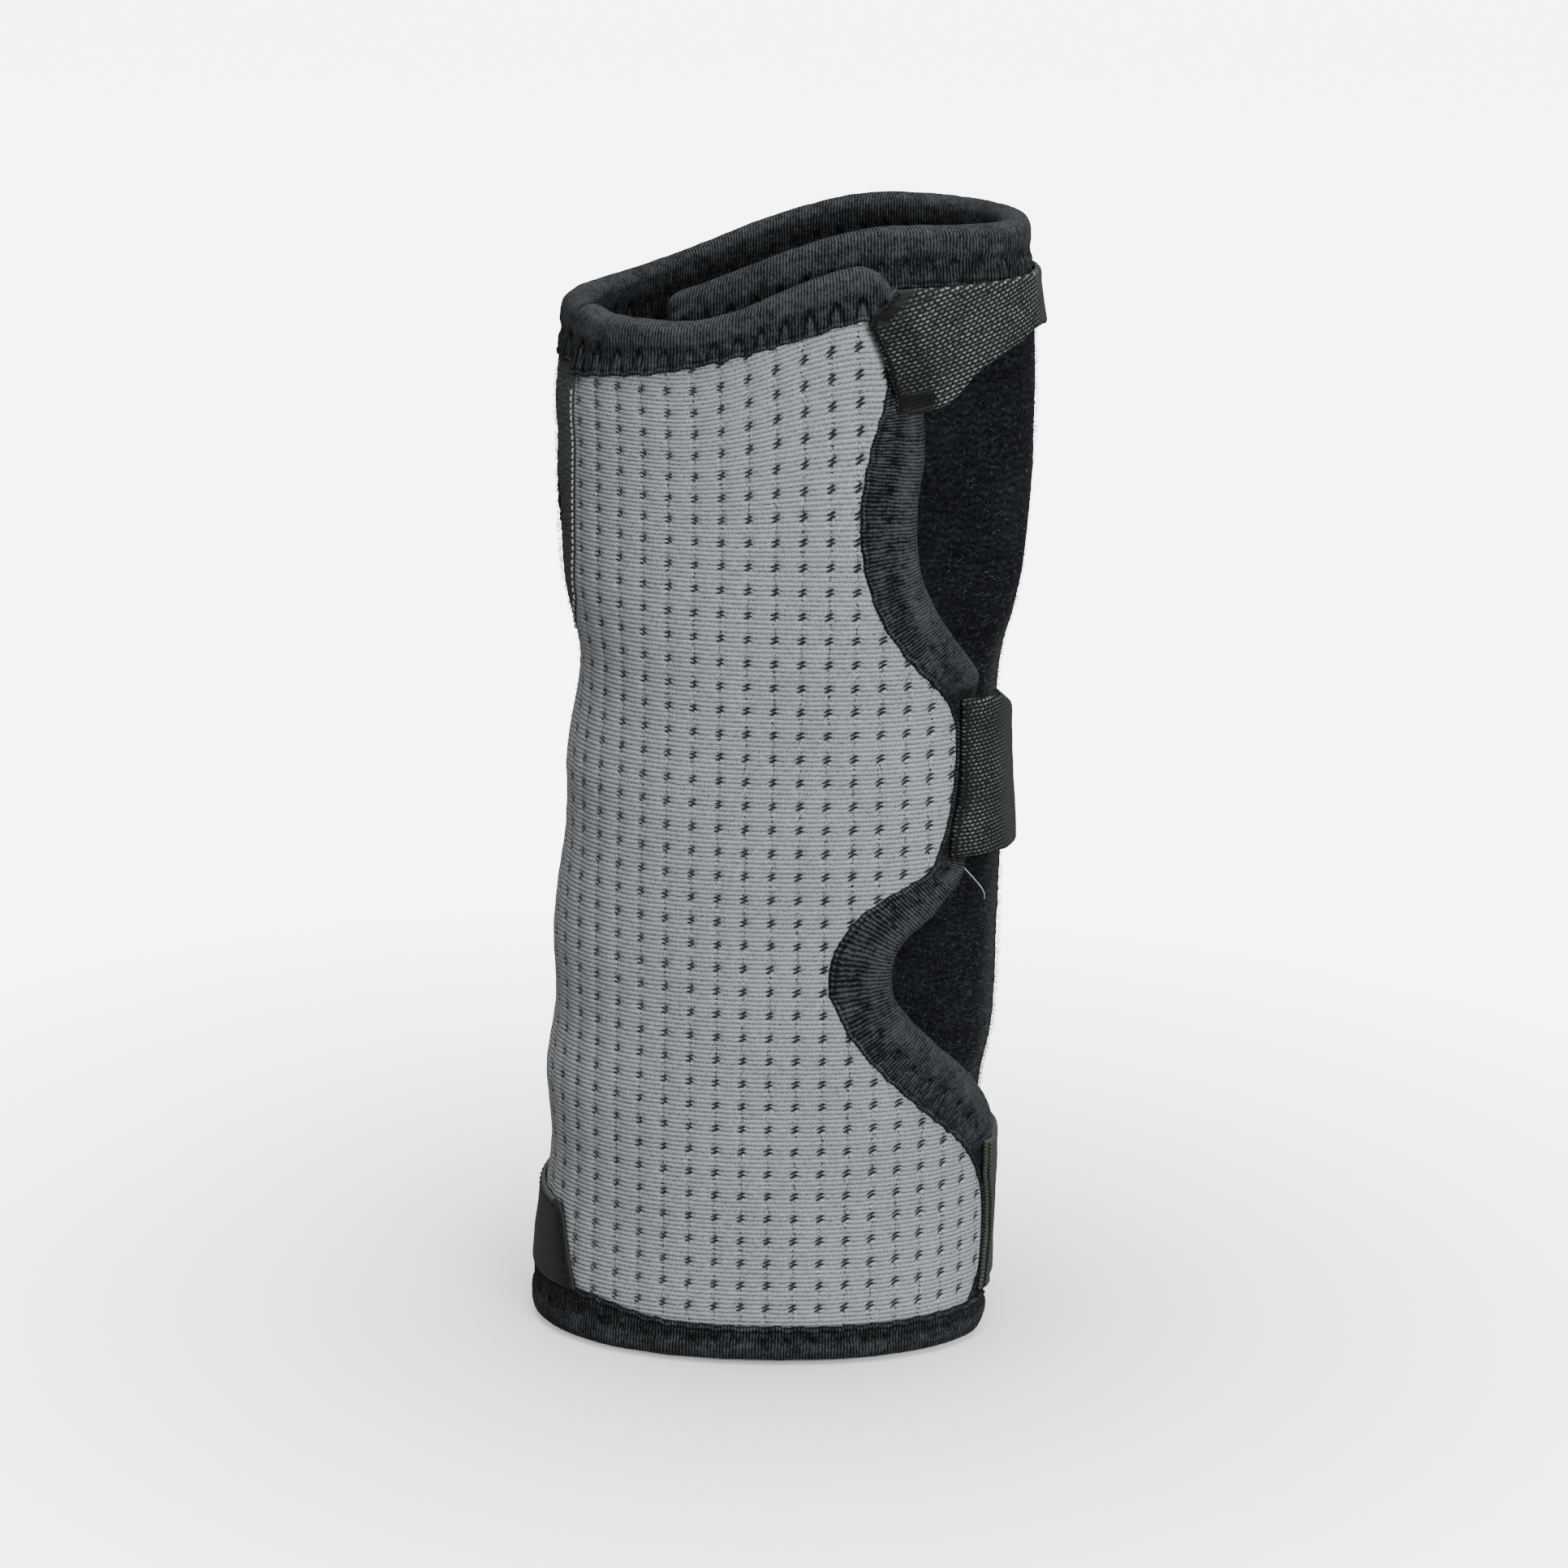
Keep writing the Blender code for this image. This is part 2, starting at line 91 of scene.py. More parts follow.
def along(stations, value):
    """Smooth curve through (position, amount) stations."""
    x, y = np.array(stations, float).T
    before, after = np.insert(x[:-1], 0, x[0]), np.append(x[1:], x[-1])
    slope = (np.append(y[1:], y[-1]) - np.insert(y[:-1], 0, y[0])) / (after - before)
    i = np.clip(np.searchsorted(x, value) - 1, 0, len(x) - 2)
    size = x[i + 1] - x[i]
    t = np.clip((value - x[i]) / size, 0, 1)
    return y[i] + (y[i + 1] - y[i]) * step(t) + size * t * (1 - t) * ((1 - t) * slope[i] - t * slope[i + 1])


def step(v):
    """Smooth rise from 0 at 0 to 1 at 1."""
    v = np.clip(v, 0.0, 1.0)
    return v * v * (3 - 2 * v)


def seam(z):
    """Angle of the left seam; it runs straight from one turn to the next."""
    return np.interp(z, *np.transpose(SEAM))


def wall(angle, z, depth):
    """Points of the tube, in millimetres; angle in degrees, 0 right, 90 back; depth inwards."""
    angle, z, depth = np.broadcast_arrays(np.asarray(angle, float), z, depth)
    rad = np.radians(angle)
    pinch = step((z - PINCH_Z[0]) / (PINCH_Z[1] - PINCH_Z[0]))
    half = HALF_WIDTH - np.sin(np.pi * np.clip(z / HEIGHT, 0, 1)) - PINCH[0] * pinch
    half = half - WAIST_DIP * np.exp(-((z - WAIST_Z) / WAIST_SPREAD) ** 2)
    centre = LEAN * (z / HEIGHT - 0.5) + SHIFT[0] - PINCH[1] * pinch
    power = 2 / SECTION_POWER
    c, s = np.cos(rad), np.sin(rad)
    nx = np.sign(c) * np.abs(c) ** (2 - power) / half
    ny = np.sign(s) * np.abs(s) ** (2 - power) / HALF_DEPTH
    size = np.hypot(nx, ny)
    bulge = RIGHT_SWELL * np.exp(-((z - RIGHT_SWELL_Z) / RIGHT_SWELL_SPREAD) ** 2)
    swell = np.abs(c) ** (2 * power) * np.where(c < 0, -along(LEFT_SWELL, z), bulge)
    x = centre + half * np.sign(c) * np.abs(c) ** power - depth * nx / size + swell
    y = HALF_DEPTH * np.sign(s) * np.abs(s) ** power - depth * ny / size + SHIFT[1]
    return np.stack([x, y, z], -1)


# tables that turn an angle into the distance round the tube from the middle of the front, and back
MID_FRONT = 270.0
ANGLE_STEP, ARC_STEP, Z_STEP = 0.5, 0.25, 3.0
ANGLES = np.arange(-140.0, 480.01, ANGLE_STEP)
TABLE_Z = np.arange(-6.0, 210.1, Z_STEP)
RINGS = wall(ANGLES[None, :], TABLE_Z[:, None], 0.0)
ARC = np.cumsum(np.linalg.norm(np.diff(RINGS, axis=1, prepend=RINGS[:, :1]), axis=2), axis=1)
ARC = ARC - ARC[:, np.searchsorted(ANGLES, MID_FRONT)][:, None]
ARC_S = np.arange(-200.0, 260.0, ARC_STEP)
ARC_ANGLE = np.array([np.interp(ARC_S, row, ANGLES) for row in ARC])


def look_up(values, u, z, first, spacing):
    u, z = np.broadcast_arrays(np.asarray(u, float), np.asarray(z, float))
    a = np.clip((u - first) / spacing, 0, values.shape[1] - 1.001)
    b = np.clip((z - TABLE_Z[0]) / Z_STEP, 0, values.shape[0] - 1.001)
    i, j = a.astype(int), b.astype(int)
    fa, fb = a - i, b - j
    low = values[j, i] * (1 - fa) + values[j, i + 1] * fa
    high = values[j + 1, i] * (1 - fa) + values[j + 1, i + 1] * fa
    return low * (1 - fb) + high * fb


def angle_of(s, z):
    return look_up(ARC_ANGLE, s, z, ARC_S[0], ARC_STEP)


def arc_of(angle, z):
    return look_up(ARC, angle, z, ANGLES[0], ANGLE_STEP)


def front_rim(angle):
    x = wall(angle, FLAT_TOP, 0.0)[..., 0]
    return FRONT_RIM + FRONT_RISE * step((x + 20) / 34)


def back_rim(angle):
    x = wall(angle, FLAT_TOP, 0.0)[..., 0]
    return BACK_RIM + (HEIGHT - BACK_RIM) * step((x + 40) / 60)


def stretch(z, rim):
    """Height on the tube of a height on the flat pattern, which ends level."""
    return z + (rim - LIP - FLAT_TOP) * step((z - 140.0) / 50.0)


def on_wall(angle, z):
    """Depth of a piece that lies on the wall itself."""
    return 0.0 * angle


def flap_depth(angle, z):
    """Depth of the back panel, which slips under the front panel past the right side."""
    return FLAP_DEPTH * step((along(FLAP_BEGIN, z) + RAMP - angle) / RAMP)


def noise(u, v, scale, seed):
    """Sum of a few slanted waves; smooth, repeatable, about -1 to 1."""
    rng = np.random.default_rng(seed)
    total = np.zeros(np.broadcast(u, v).shape)
    for _ in range(7):
        turn = rng.uniform(0, math.pi)
        size = scale * rng.uniform(0.6, 1.8)
        total = total + np.sin((u * math.cos(turn) + v * math.sin(turn)) * 2 * math.pi / size
                               + rng.uniform(0, 6.28))
    return total / 3.5


# ---- meshes ----

def new_object(name, verts, faces, mat, uv=None, layers=()):
    """Smooth mesh object from millimetre points; uv is one pair per vertex."""
    mesh = bpy.data.meshes.new(name)
    verts = np.asarray(verts, float).reshape(-1, 3) * MM
    mesh.vertices.add(len(verts))
    mesh.vertices.foreach_set("co", verts.ravel())
    mesh.loops.add(faces.size)
    mesh.loops.foreach_set("vertex_index", faces.ravel().astype(np.int32))
    mesh.polygons.add(len(faces))
    mesh.polygons.foreach_set("loop_start", np.arange(0, faces.size, 4, dtype=np.int32))
    mesh.update(calc_edges=True)
    mesh.validate()
    if uv is not None:
        layer = mesh.uv_layers.new(name="cloth")
        index = np.zeros(len(mesh.loops), np.int32)
        mesh.loops.foreach_get("vertex_index", index)
        layer.data.foreach_set("uv", np.asarray(uv, float).reshape(-1, 2)[index].ravel())
    for label, values in layers:
        attr = mesh.attributes.new(label, "FLOAT", "POINT")
        attr.data.foreach_set("value", np.asarray(values, np.float32).ravel())
    mesh.polygons.foreach_set("use_smooth", np.full(len(mesh.polygons), True))
    obj = bpy.data.objects.new(name, mesh)
    bpy.context.scene.collection.objects.link(obj)
    mesh.materials.append(mat)
    return obj


def grid_faces(rows, cols, wrap_cols=False, wrap_rows=False, keep=None):
    j, i = np.meshgrid(np.arange(rows if wrap_rows else rows - 1),
                       np.arange(cols if wrap_cols else cols - 1), indexing="ij")
    jn, inn = (j + 1) % rows, (i + 1) % cols
    faces = np.stack([j * cols + i, j * cols + inn, jn * cols + inn, jn * cols + i], -1)
    if keep is not None:
        faces = faces[keep]
    return faces.reshape(-1, 4)


def open_border(faces):
    """Directed edges used by one face only."""
    edges = np.concatenate([faces[:, [0, 1]], faces[:, [1, 2]], faces[:, [2, 3]], faces[:, [3, 0]]])
    key = np.sort(edges, axis=1)
    code = key[:, 0].astype(np.int64) * (faces.max() + 1) + key[:, 1]
    _, first, uses = np.unique(code, return_index=True, return_counts=True)
    return edges[first[uses == 1]]


def slab(name, top, under, mat, uv, layers=(), keep=None):
    """Closed piece between two grids of points; keep leaves faces out, as for a hole."""
    rows, cols = top.shape[:2]
    count = rows * cols
    shell = grid_faces(rows, cols, keep=keep)
    a, b = open_border(shell).T
    rim = np.stack([b, a, a + count, b + count], -1)
    return new_object(name, np.stack([top, under]), np.concatenate([shell, shell[:, ::-1] + count, rim]),
                      mat, np.stack([uv, uv]), [(label, np.stack([v, v])) for label, v in layers])


def solidify(obj, thickness, offset=-1.0):
    mod = obj.modifiers.new("cloth thickness", "SOLIDIFY")
    mod.thickness = thickness * MM
    mod.offset = offset


def fix_normals(obj):
    bm = bmesh.new()
    bm.from_mesh(obj.data)
    bmesh.ops.recalc_face_normals(bm, faces=bm.faces)
    bm.to_mesh(obj.data)
    bm.free()


def threads(name, paths, radius, mat, sides=6, layers=()):
    """Round threads along many short paths of equal point count, as one object."""
    paths = np.asarray(paths, float)
    n, k = paths.shape[:2]
    tangent = np.gradient(paths, axis=1)
    tangent /= np.maximum(np.linalg.norm(tangent, axis=2, keepdims=True), 1e-9)
    side = np.cross(tangent, np.array([0.31, 0.17, 0.93]))
    side /= np.maximum(np.linalg.norm(side, axis=2, keepdims=True), 1e-9)
    up = np.cross(side, tangent)
    turn = np.arange(sides) * 2 * math.pi / sides
    ring = side[:, :, None, :] * np.cos(turn)[:, None] + up[:, :, None, :] * np.sin(turn)[:, None]
    verts = paths[:, :, None, :] + ring * np.broadcast_to(radius, (n, k))[:, :, None, None]
    one = grid_faces(k, sides, wrap_cols=True)
    faces = one[None] + (np.arange(n) * k * sides)[:, None, None]
    return new_object(name, verts, faces.reshape(-1, 4), mat, layers=layers)


# ---- materials ----

class Signal:
    """A value that varies over a surface; arithmetic on it adds shader nodes."""

    def __init__(self, net, socket):
        self.net, self.socket = net, socket

    def __add__(self, other):
        return self.net.math("ADD", self, other)

    def __sub__(self, other):
        return self.net.math("SUBTRACT", self, other)

    def __rsub__(self, other):
        return self.net.math("SUBTRACT", other, self)

    def __mul__(self, other):
        return self.net.math("MULTIPLY", self, other)

    def __truediv__(self, other):
        return self.net.math("DIVIDE", self, other)

    def fract(self):
        return self.net.math("FRACT", self)

    def root(self):
        return self.net.math("SQRT", self)

    def most(self, other):
        return self.net.math("MAXIMUM", self, other)

    def clamp(self):
        """The same value kept between 0 and 1."""
        self.socket.node.use_clamp = True
        return self

    def ridge(self, centre, half):
        """1 where the value is centre, falling to 0 at half to either side."""
        return (1.0 - self.net.math("ABSOLUTE", self - centre) / half).clamp()


class Net:
    """Short way to write shader nodes."""

    def __init__(self, name):
        self.mat = bpy.data.materials.new(name)
        self.mat.use_nodes = True
        self.tree = self.mat.node_tree
        self.bsdf = self.tree.nodes["Principled BSDF"]

    def node(self, kind, **settings):
        node = self.tree.nodes.new(kind)
        for key, value in settings.items():
            setattr(node, key, value)
        return node

    def put(self, socket, value):
        if isinstance(value, Signal):
            self.tree.links.new(value.socket, socket)
        else:
            socket.default_value = value

    def made(self, node, inputs, output=0):
        """Fill a node's sockets, given as {name or number: value}, and return what it gives."""
        for key, value in inputs.items():
            self.put(node.inputs[key], value)
        return Signal(self, node.outputs[output])

    def math(self, op, a, b=0.0):
        return self.made(self.node("ShaderNodeMath", operation=op), {0: a, 1: b})

    def uv(self):
        place = self.made(self.node("ShaderNodeUVMap", uv_map="cloth"), {})
        split = self.node("ShaderNodeSeparateXYZ")
        return self.made(split, {0: place}), Signal(self, split.outputs[1])

    def place(self):
        return self.made(self.node("ShaderNodeTexCoord"), {}, "Object")

    def noise(self, scale, detail=3.0, rough=0.55):
        inputs = {"Scale": scale, "Detail": detail, "Roughness": rough, "Vector": self.place()}
        return self.made(self.node("ShaderNodeTexNoise"), inputs, "Fac")

    def attribute(self, name):
        return self.made(self.node("ShaderNodeAttribute", attribute_name=name), {}, "Fac")

    def mix(self, fac, a, b):
        return self.made(self.node("ShaderNodeMix", data_type="RGBA"), {0: fac, 6: a, 7: b}, 2)

    def scaled(self, colour, amount):
        """A colour times a value that varies over the surface."""
        node = self.node("ShaderNodeVectorMath", operation="SCALE")
        return self.made(node, {0: colour[:3], "Scale": amount})

    def wave(self, value, period, phase=0.0):
        """Cosine, 0 to 1."""
        return self.math("COSINE", value * (2 * math.pi / period) + phase) * 0.5 + 0.5

    def spot(self, u, v, half_u, half_v):
        """1 where u and v are 0, falling to 0 at the ellipse's edge."""
        a, b = u / half_u, v / half_v
        return (1.0 - (a * a + b * b).root()).clamp()

    def bump(self, height, distance, strength):
        inputs = {"Strength": strength, "Distance": distance, "Height": height}
        return self.made(self.node("ShaderNodeBump"), inputs)

    def finish(self, colour, rough, normal=None, sheen=0.0, sheen_rough=0.5, sheen_tint=(1, 1, 1, 1),
               specular=0.5, metallic=0.0):
        inputs = {"Base Color": colour, "Roughness": rough, "Metallic": metallic,
                  "Specular IOR Level": specular, "Sheen Weight": sheen,
                  "Sheen Roughness": sheen_rough, "Sheen Tint": sheen_tint}
        for key, value in inputs.items():
            self.put(self.bsdf.inputs[key], value)
        if normal is not None:
            self.put(self.bsdf.inputs["Normal"], normal)
        return self.mat


def rgb(r, g, b):
    """sRGB 0-255 to linear."""
    out = []
    for c in (r, g, b):
        c = c / 255
        out.append(c / 12.92 if c <= 0.04045 else ((c + 0.055) / 1.055) ** 2.4)
    return (*out, 1.0)


# one dimple of the knit: dark stitch marks and bright painted highlights, each (across, up, half width, half
# height)
DARK_STITCHES = ((0.06, 0.125, 0.10, 0.055), (-0.05, 0.045, 0.14, 0.055), (0.05, -0.045, 0.13, 0.055),
                 (-0.06, -0.125, 0.12, 0.055))
PAINTED_GLINTS = ((0.15, 0.05, 0.07, 0.06), (-0.02, -0.005, 0.10, 0.03), (0.11, -0.14, 0.08, 0.05),
                   (-0.13, 0.12, 0.07, 0.05))


def grey_cloth():
    """Dimpled knit. UV is (columns, rows) of dimples; "side" runs from 0 at the left to 1 at the right."""
    n = Net("grey dimpled knit")
    u, v = n.uv()
    side = n.attribute("side")
    wobble = n.noise(420.0, 2.0) * 0.10 - 0.05
    cu, cv = (u + wobble).fract() - 0.5, (v + wobble * 0.5).fract() - 0.5
    ribs = n.wave(v + wobble * 0.3, 0.198)
    cross = n.wave(u + v * 0.9, 0.14)
    grain, speck = n.noise(2600.0, 2.0), n.noise(5200.0, 2.0)
    mottle, patch = n.noise(48.0, 4.0), n.noise(260.0, 3.0)
    tilt, small, faint = side * 2.0 - 1.0, side * 0.38 + 0.80, 1.0 - side * 0.7

    # spots at the given places; the dark ones are stitch marks, the bright ones painted highlights
    def stitches(places):
        total = None
        for across, up, half_u, half_v in places:
            a = (cu - across) / small
            one = n.spot(a, (cv - up) / small - a * tilt * 0.40, half_u, half_v)
            total = one if total is None else total.most(one)
        return total
    marks = (stitches(DARK_STITCHES) * (grain * 7.0 - 0.8)).clamp()
    glints = (stitches(PAINTED_GLINTS) * (grain * 4.0 - 0.4)).clamp()
    line = cu.ridge(0.0, 0.13)
    cable = n.wave(v + (cu + 0.5) * tilt * 0.8, 0.099, 0.6)
    dots = line * cable * (grain * 2.2 - 0.4).clamp()
    tone = (ribs.root() - 0.64) * (0.80 - side * 0.04) + 1.0
    tone = tone - cu.ridge(0.03, 0.035) * faint * 0.22 + cu.ridge(0.10, 0.04) * faint * 0.12
    tone = tone + (cross - 0.5) * side * 0.16 + n.wave(u, 0.062) * 0.06
    tone = tone + (mottle - 0.5) * 0.26 + (patch - 0.5) * 0.24 + (speck - 0.5) * 1.5 + (grain - 0.5) * 1.15
    tone = tone + line * (grain - 0.5) * (side * 2.0 + 2.2)
    # each dimple's middle is darkened a little, painted shade in the hollow, and glints add painted
    # highlights
    tone = tone - dots * 0.5 + glints * 0.34 - n.spot(cu, cv, 0.34, 0.34) * 0.12
    colour = n.mix(marks * 0.95, n.scaled(rgb(138, 142, 146), tone), rgb(14, 16, 20))
    normal = n.bump(ribs + speck * 0.6 - marks * 1.6, 0.00018, 0.8)
    return n.finish(colour, 0.85, normal, sheen=0.10, specular=0.2)


def ribbed_tape():
    """Stretch tape. UV is millimetres along and across; "tone" paints shade into creases and highlight onto
    rolls.
    """
    n = Net("ribbed binding tape")
    u, v = n.uv()
    ribs = n.wave(n.noise(620.0, 2.0) * 0.45 + u, 0.56)
    speck = n.noise(3600.0, 3.0)
    tone = ribs * (speck * 2.6 - 0.55) + n.wave(v, 0.42) * 0.10
    tone = tone + (n.noise(300.0, 4.0) - 0.5) * 0.7 + (n.noise(1300.0, 2.0) - 0.5) * 1.2
    tone = (tone + n.attribute("tone") * 0.75 - 0.62).clamp()
    colour = n.mix(tone, rgb(5, 6, 8), rgb(66, 71, 74))
    normal = n.bump(ribs + speck * 0.8, 0.00014, 0.9)
    return n.finish(colour, 0.85, normal, sheen=0.05, sheen_rough=0.4, sheen_tint=rgb(150, 158, 180),
                    specular=0.15)


def loop_cloth():
    """Brushed loop fabric: nearly black, short wavy streaks across it. UV is millimetres; "tone" paints
    backlit light onto the fuzz.
    """
    n = Net("brushed loop fabric")
    u, v = n.uv()
    tuft = n.noise(1700.0, 4.0, rough=0.7)
    rows = n.wave(n.wave(u, 3.1) * 0.35 + n.noise(240.0, 3.0) * 2.4 + v, 1.1)
    broken = (n.noise(420.0, 3.0) * 3.2 - 1.2).clamp()
    fleck = (n.noise(1500.0, 2.0) * 6.0 - 3.7).clamp()
    tone = tuft * 0.70 + rows * broken * (tuft * 1.8 - 0.3) * 0.40 - 0.27 + fleck * 0.5
    tone = (tone + (n.noise(90.0, 5.0) - 0.5) * 0.35).clamp()
    # pale: painted backlight on the fuzz, textured by the tufts
    pale = (n.attribute("tone") * (tuft * 1.4 + 0.1)).clamp()
    colour = n.mix(pale, n.mix(tone * 0.85, rgb(5, 6, 8), rgb(62, 67, 74)), rgb(96, 103, 96))
    normal = n.bump(rows * 0.6 + tuft, 0.0004, 0.8)
    return n.finish(colour, 0.95, normal, sheen=0.04, sheen_tint=rgb(140, 148, 170), specular=0.08)


def fuzz_fibre():
    n = Net("loop fibres")
    return n.finish(n.mix(n.attribute("tint"), rgb(11, 12, 16), rgb(104, 108, 118)), 0.85, specular=0.15)


def lining_cloth():
    """Smooth knitted lining."""
    n = Net("knitted lining")
    u, v = n.uv()
    knit = n.wave(u, 0.7) * n.wave(v, 0.55)
    speck = n.noise(3200.0, 3.0)
    colour = n.mix((knit * 0.6 + speck * 0.45).clamp(), rgb(14, 15, 18), rgb(40, 42, 47))
    normal = n.bump(knit + speck * 0.4, 0.00015, 0.7)
    return n.finish(colour, 0.85, normal, sheen=0.2, sheen_tint=rgb(150, 155, 165), specular=0.25)


WEB_ROW, WEB_DASH = 0.70, 1.05      # spacing of the webbing's yarns, and of the dashes along one


def elastic_webbing():
    """Woven elastic: rows of light dashes along the strap, offset from row to row. UV is millimetres.
    "tone" brightens the dashes and "plain" is 1 where the weave looks flat and even."""
    n = Net("elastic webbing")
    u, v = n.uv()
    v = n.noise(130.0, 2.0) * 0.5 + v
    row = v / WEB_ROW
    lane = n.math("FLOOR", row)
    offset = (lane * 0.5).fract() + (n.math("SINE", lane * 12.9) * 43.7).fract() * 0.22
    dash = (n.spot((u / WEB_DASH + offset).fract() - 0.5, row.fract() - 0.5, 0.46, 0.36) * 2.4).clamp()
    dash = dash * (n.noise(1500.0, 3.0) * 4.0 - 1.35).clamp()
    bright, plain = n.attribute("tone"), n.attribute("plain")
    ridges = n.wave(v, WEB_ROW, math.pi)
    tone = (ridges * 0.3 + (n.noise(4200.0, 3.0) * 0.5 - 0.2)).clamp()
    light = (dash * bright * (n.noise(70.0, 3.0) * 0.9 + 0.5)).clamp()
    colour = n.mix(tone * bright, rgb(6, 8, 8), rgb(36, 43, 42))
    colour = n.mix((plain * (tone * 0.7 + 0.6)).clamp(), colour, rgb(72, 81, 70))
    colour = n.mix(light * 0.95, colour, rgb(140, 153, 150))
    normal = n.bump(ridges + dash * 0.8, 0.0002, 0.9)
    return n.finish(colour, 0.75, normal, sheen=0.04, sheen_tint=rgb(160, 175, 170), specular=0.2)


def satin_label():
    """Smooth woven ribbon; "tone" paints a highlight along its rim and shadow at its right end."""
    n = Net("blank satin label")
    warp = n.wave(n.uv()[0], 0.35)
    speck = n.noise(2500.0, 3.0)
    tone = (warp * 0.22 + speck * 0.3 + n.attribute("tone")).clamp()
    colour = n.mix(tone, rgb(17, 19, 19), rgb(80, 84, 80))
    return n.finish(colour, speck * 0.2 + 0.5, n.bump(warp, 0.00005, 0.5), specular=0.3)


def thread(name, colour):
    n = Net(name)
    dark = (*(c * 0.5 for c in colour[:3]), 1.0)
    return n.finish(n.mix(n.noise(6000.0, 2.0), dark, colour), 0.75, sheen=0.03, specular=0.15)


def hook_plastic():
    n = Net("hook tape")
    u, v = n.uv()
    peg = n.wave(u, 1.3) * n.wave(v, 1.3)
    colour = n.mix((n.noise(900.0) * 0.6 + peg).clamp(), rgb(12, 12, 13), rgb(38, 38, 41))
    return n.finish(colour, 0.5, n.bump(peg, 0.0004, 0.9))


def bare_metal():
    n = Net("bare aluminium strip")
    brushed = n.noise(900.0, 3.0)
    colour = n.mix(brushed, rgb(160, 162, 166), rgb(206, 208, 212))
    return n.finish(colour, brushed * 0.25 + 0.28, n.bump(brushed, 0.00005, 0.4), metallic=1.0)


def dipped_plastic():
    n = Net("dipped stay end")
    speck = n.noise(1200.0, 3.0)
    colour = n.mix(speck, rgb(18, 18, 20), rgb(36, 36, 40))
    return n.finish(colour, speck * 0.2 + 0.35, n.bump(speck, 0.0001, 0.4))


GREY = grey_cloth()
TAPE = ribbed_tape()
LOOP = loop_cloth()
FIBRE = fuzz_fibre()
LINING = lining_cloth()
WEB = elastic_webbing()
LABEL = satin_label()
BLACK_THREAD = thread("black thread", rgb(17, 20, 18))
PALE_THREAD = thread("pale thread", rgb(205, 208, 210))
HOOKS = hook_plastic()
METAL = bare_metal()
DIPPED = dipped_plastic()


# ---- panels ----

CLOTH = 0.7          # thickness of the panels' outer cloths
TUCK_IN = 1.3        # how far the grey knit goes on under the scalloped edge's tape
HOLE_INSET = 1.2     # the cloth starts this far outside the thumb opening's edge


def pattern(rows, cols, edges, rim):
    """A panel's grid: flat height, distance round the tube, angle, height on the tube, and its widths."""
    z0 = np.linspace(FLAT_FOOT, FLAT_TOP, rows)[:, None]
    first, last = edges(z0)
    s = first + (last - first) * np.linspace(0, 1, cols)[None, :]
    angle = angle_of(s, z0)
    z0 = z0 + 0 * s
    return z0, s, angle, stretch(z0, rim(angle)), np.abs(last - first)


def grey_edges(z0):
    return arc_of(seam(z0) + SEAM_GAP, z0), arc_of(along(GREY_RIGHT, z0), z0) + TUCK_IN


def foam_edges(z0):
    return arc_of(seam(z0) + SEAM_GAP, z0), arc_of(along(EDGE, z0), z0) - 0.6


def back_edges(z0):
    """Going backwards, from the seam by the back and the right side to the under flap's free edge."""
    return arc_of(seam(z0) - SEAM_GAP, z0), arc_of(FLAP_END, z0)


def drift(z):
    """Sideways run of the dimple columns up the panel."""
    return 2.2 - 3.6 * (z - 30.0) / 140.0


def front_relief(s, z):
    """How far the front cloth sinks below the wall: dimples, tucks and soft swelling between."""
    u = (s - drift(z)) / COLUMN
    v = z / ROW
    du = (u - np.floor(u) - 0.5) * COLUMN
    dv = (v - np.floor(v) - 0.5) * ROW
    dimple = 0.40 * np.exp(-((du / 0.9) ** 2 + (dv / 0.8) ** 2))
    tuck = 0.13 * np.exp(-(du / 0.55) ** 2)
    swell = 0.10 * (1 - np.cos(2 * np.pi * (u - 0.5))) * 0.5 * (0.7 + 0.3 * np.cos(2 * np.pi * (v - 0.5)))
    broad = 0.22 * noise(s, z, 55.0, 3) + 0.08 * noise(s, z, 17.0, 4)
    return dimple + tuck - swell + broad


def front_cloth():
    """Grey knit; past its borders it dives under the tapes, and is left out where they hide it."""
    rows, cols = 400, 232
    z0, s, angle, z, width = pattern(rows, cols, grey_edges, front_rim)
    past = np.maximum(s - arc_of(along(GREY_RIGHT, z), z), z - along(GREY_TOP, angle))
    past = np.maximum(past, along(GREY_FOOT, angle) - z)
    relief = front_relief(s, z0) * step(np.minimum(s - s[:, :1], -past) / 1.5) + 0.5 * step(past + 0.5)
    far = past > 1.5
    hidden = far[:-1, :-1] & far[1:, :-1] & far[:-1, 1:] & far[1:, 1:]
    uv = np.stack([(s - drift(z0)) / COLUMN, z0 / ROW], -1)
    left, right = arc_of(205.0, z0), arc_of(300.0, z0)
    side = np.clip((s - left) / (right - left), 0, 1)
    obj = new_object("front_cloth", wall(angle, z, relief), grid_faces(rows, cols, keep=~hidden), GREY, uv,
                     [("side", side)])
    solidify(obj, CLOTH)
    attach(obj, "sleeve")
    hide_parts("outer_panel")
    area = float(width.mean() * 176.0) * 1e-6


def hole_mask(s, z):
    """Faces of a grid that lie inside the thumb opening."""
    across = (s - arc_of(THUMB_ANGLE, THUMB_Z)) / (THUMB_HALF[0] + HOLE_INSET)
    inside = np.hypot(across, (z - THUMB_Z) / (THUMB_HALF[1] + HOLE_INSET)) < 1.0
    return inside[:-1, :-1] | inside[1:, :-1] | inside[:-1, 1:] | inside[1:, 1:]


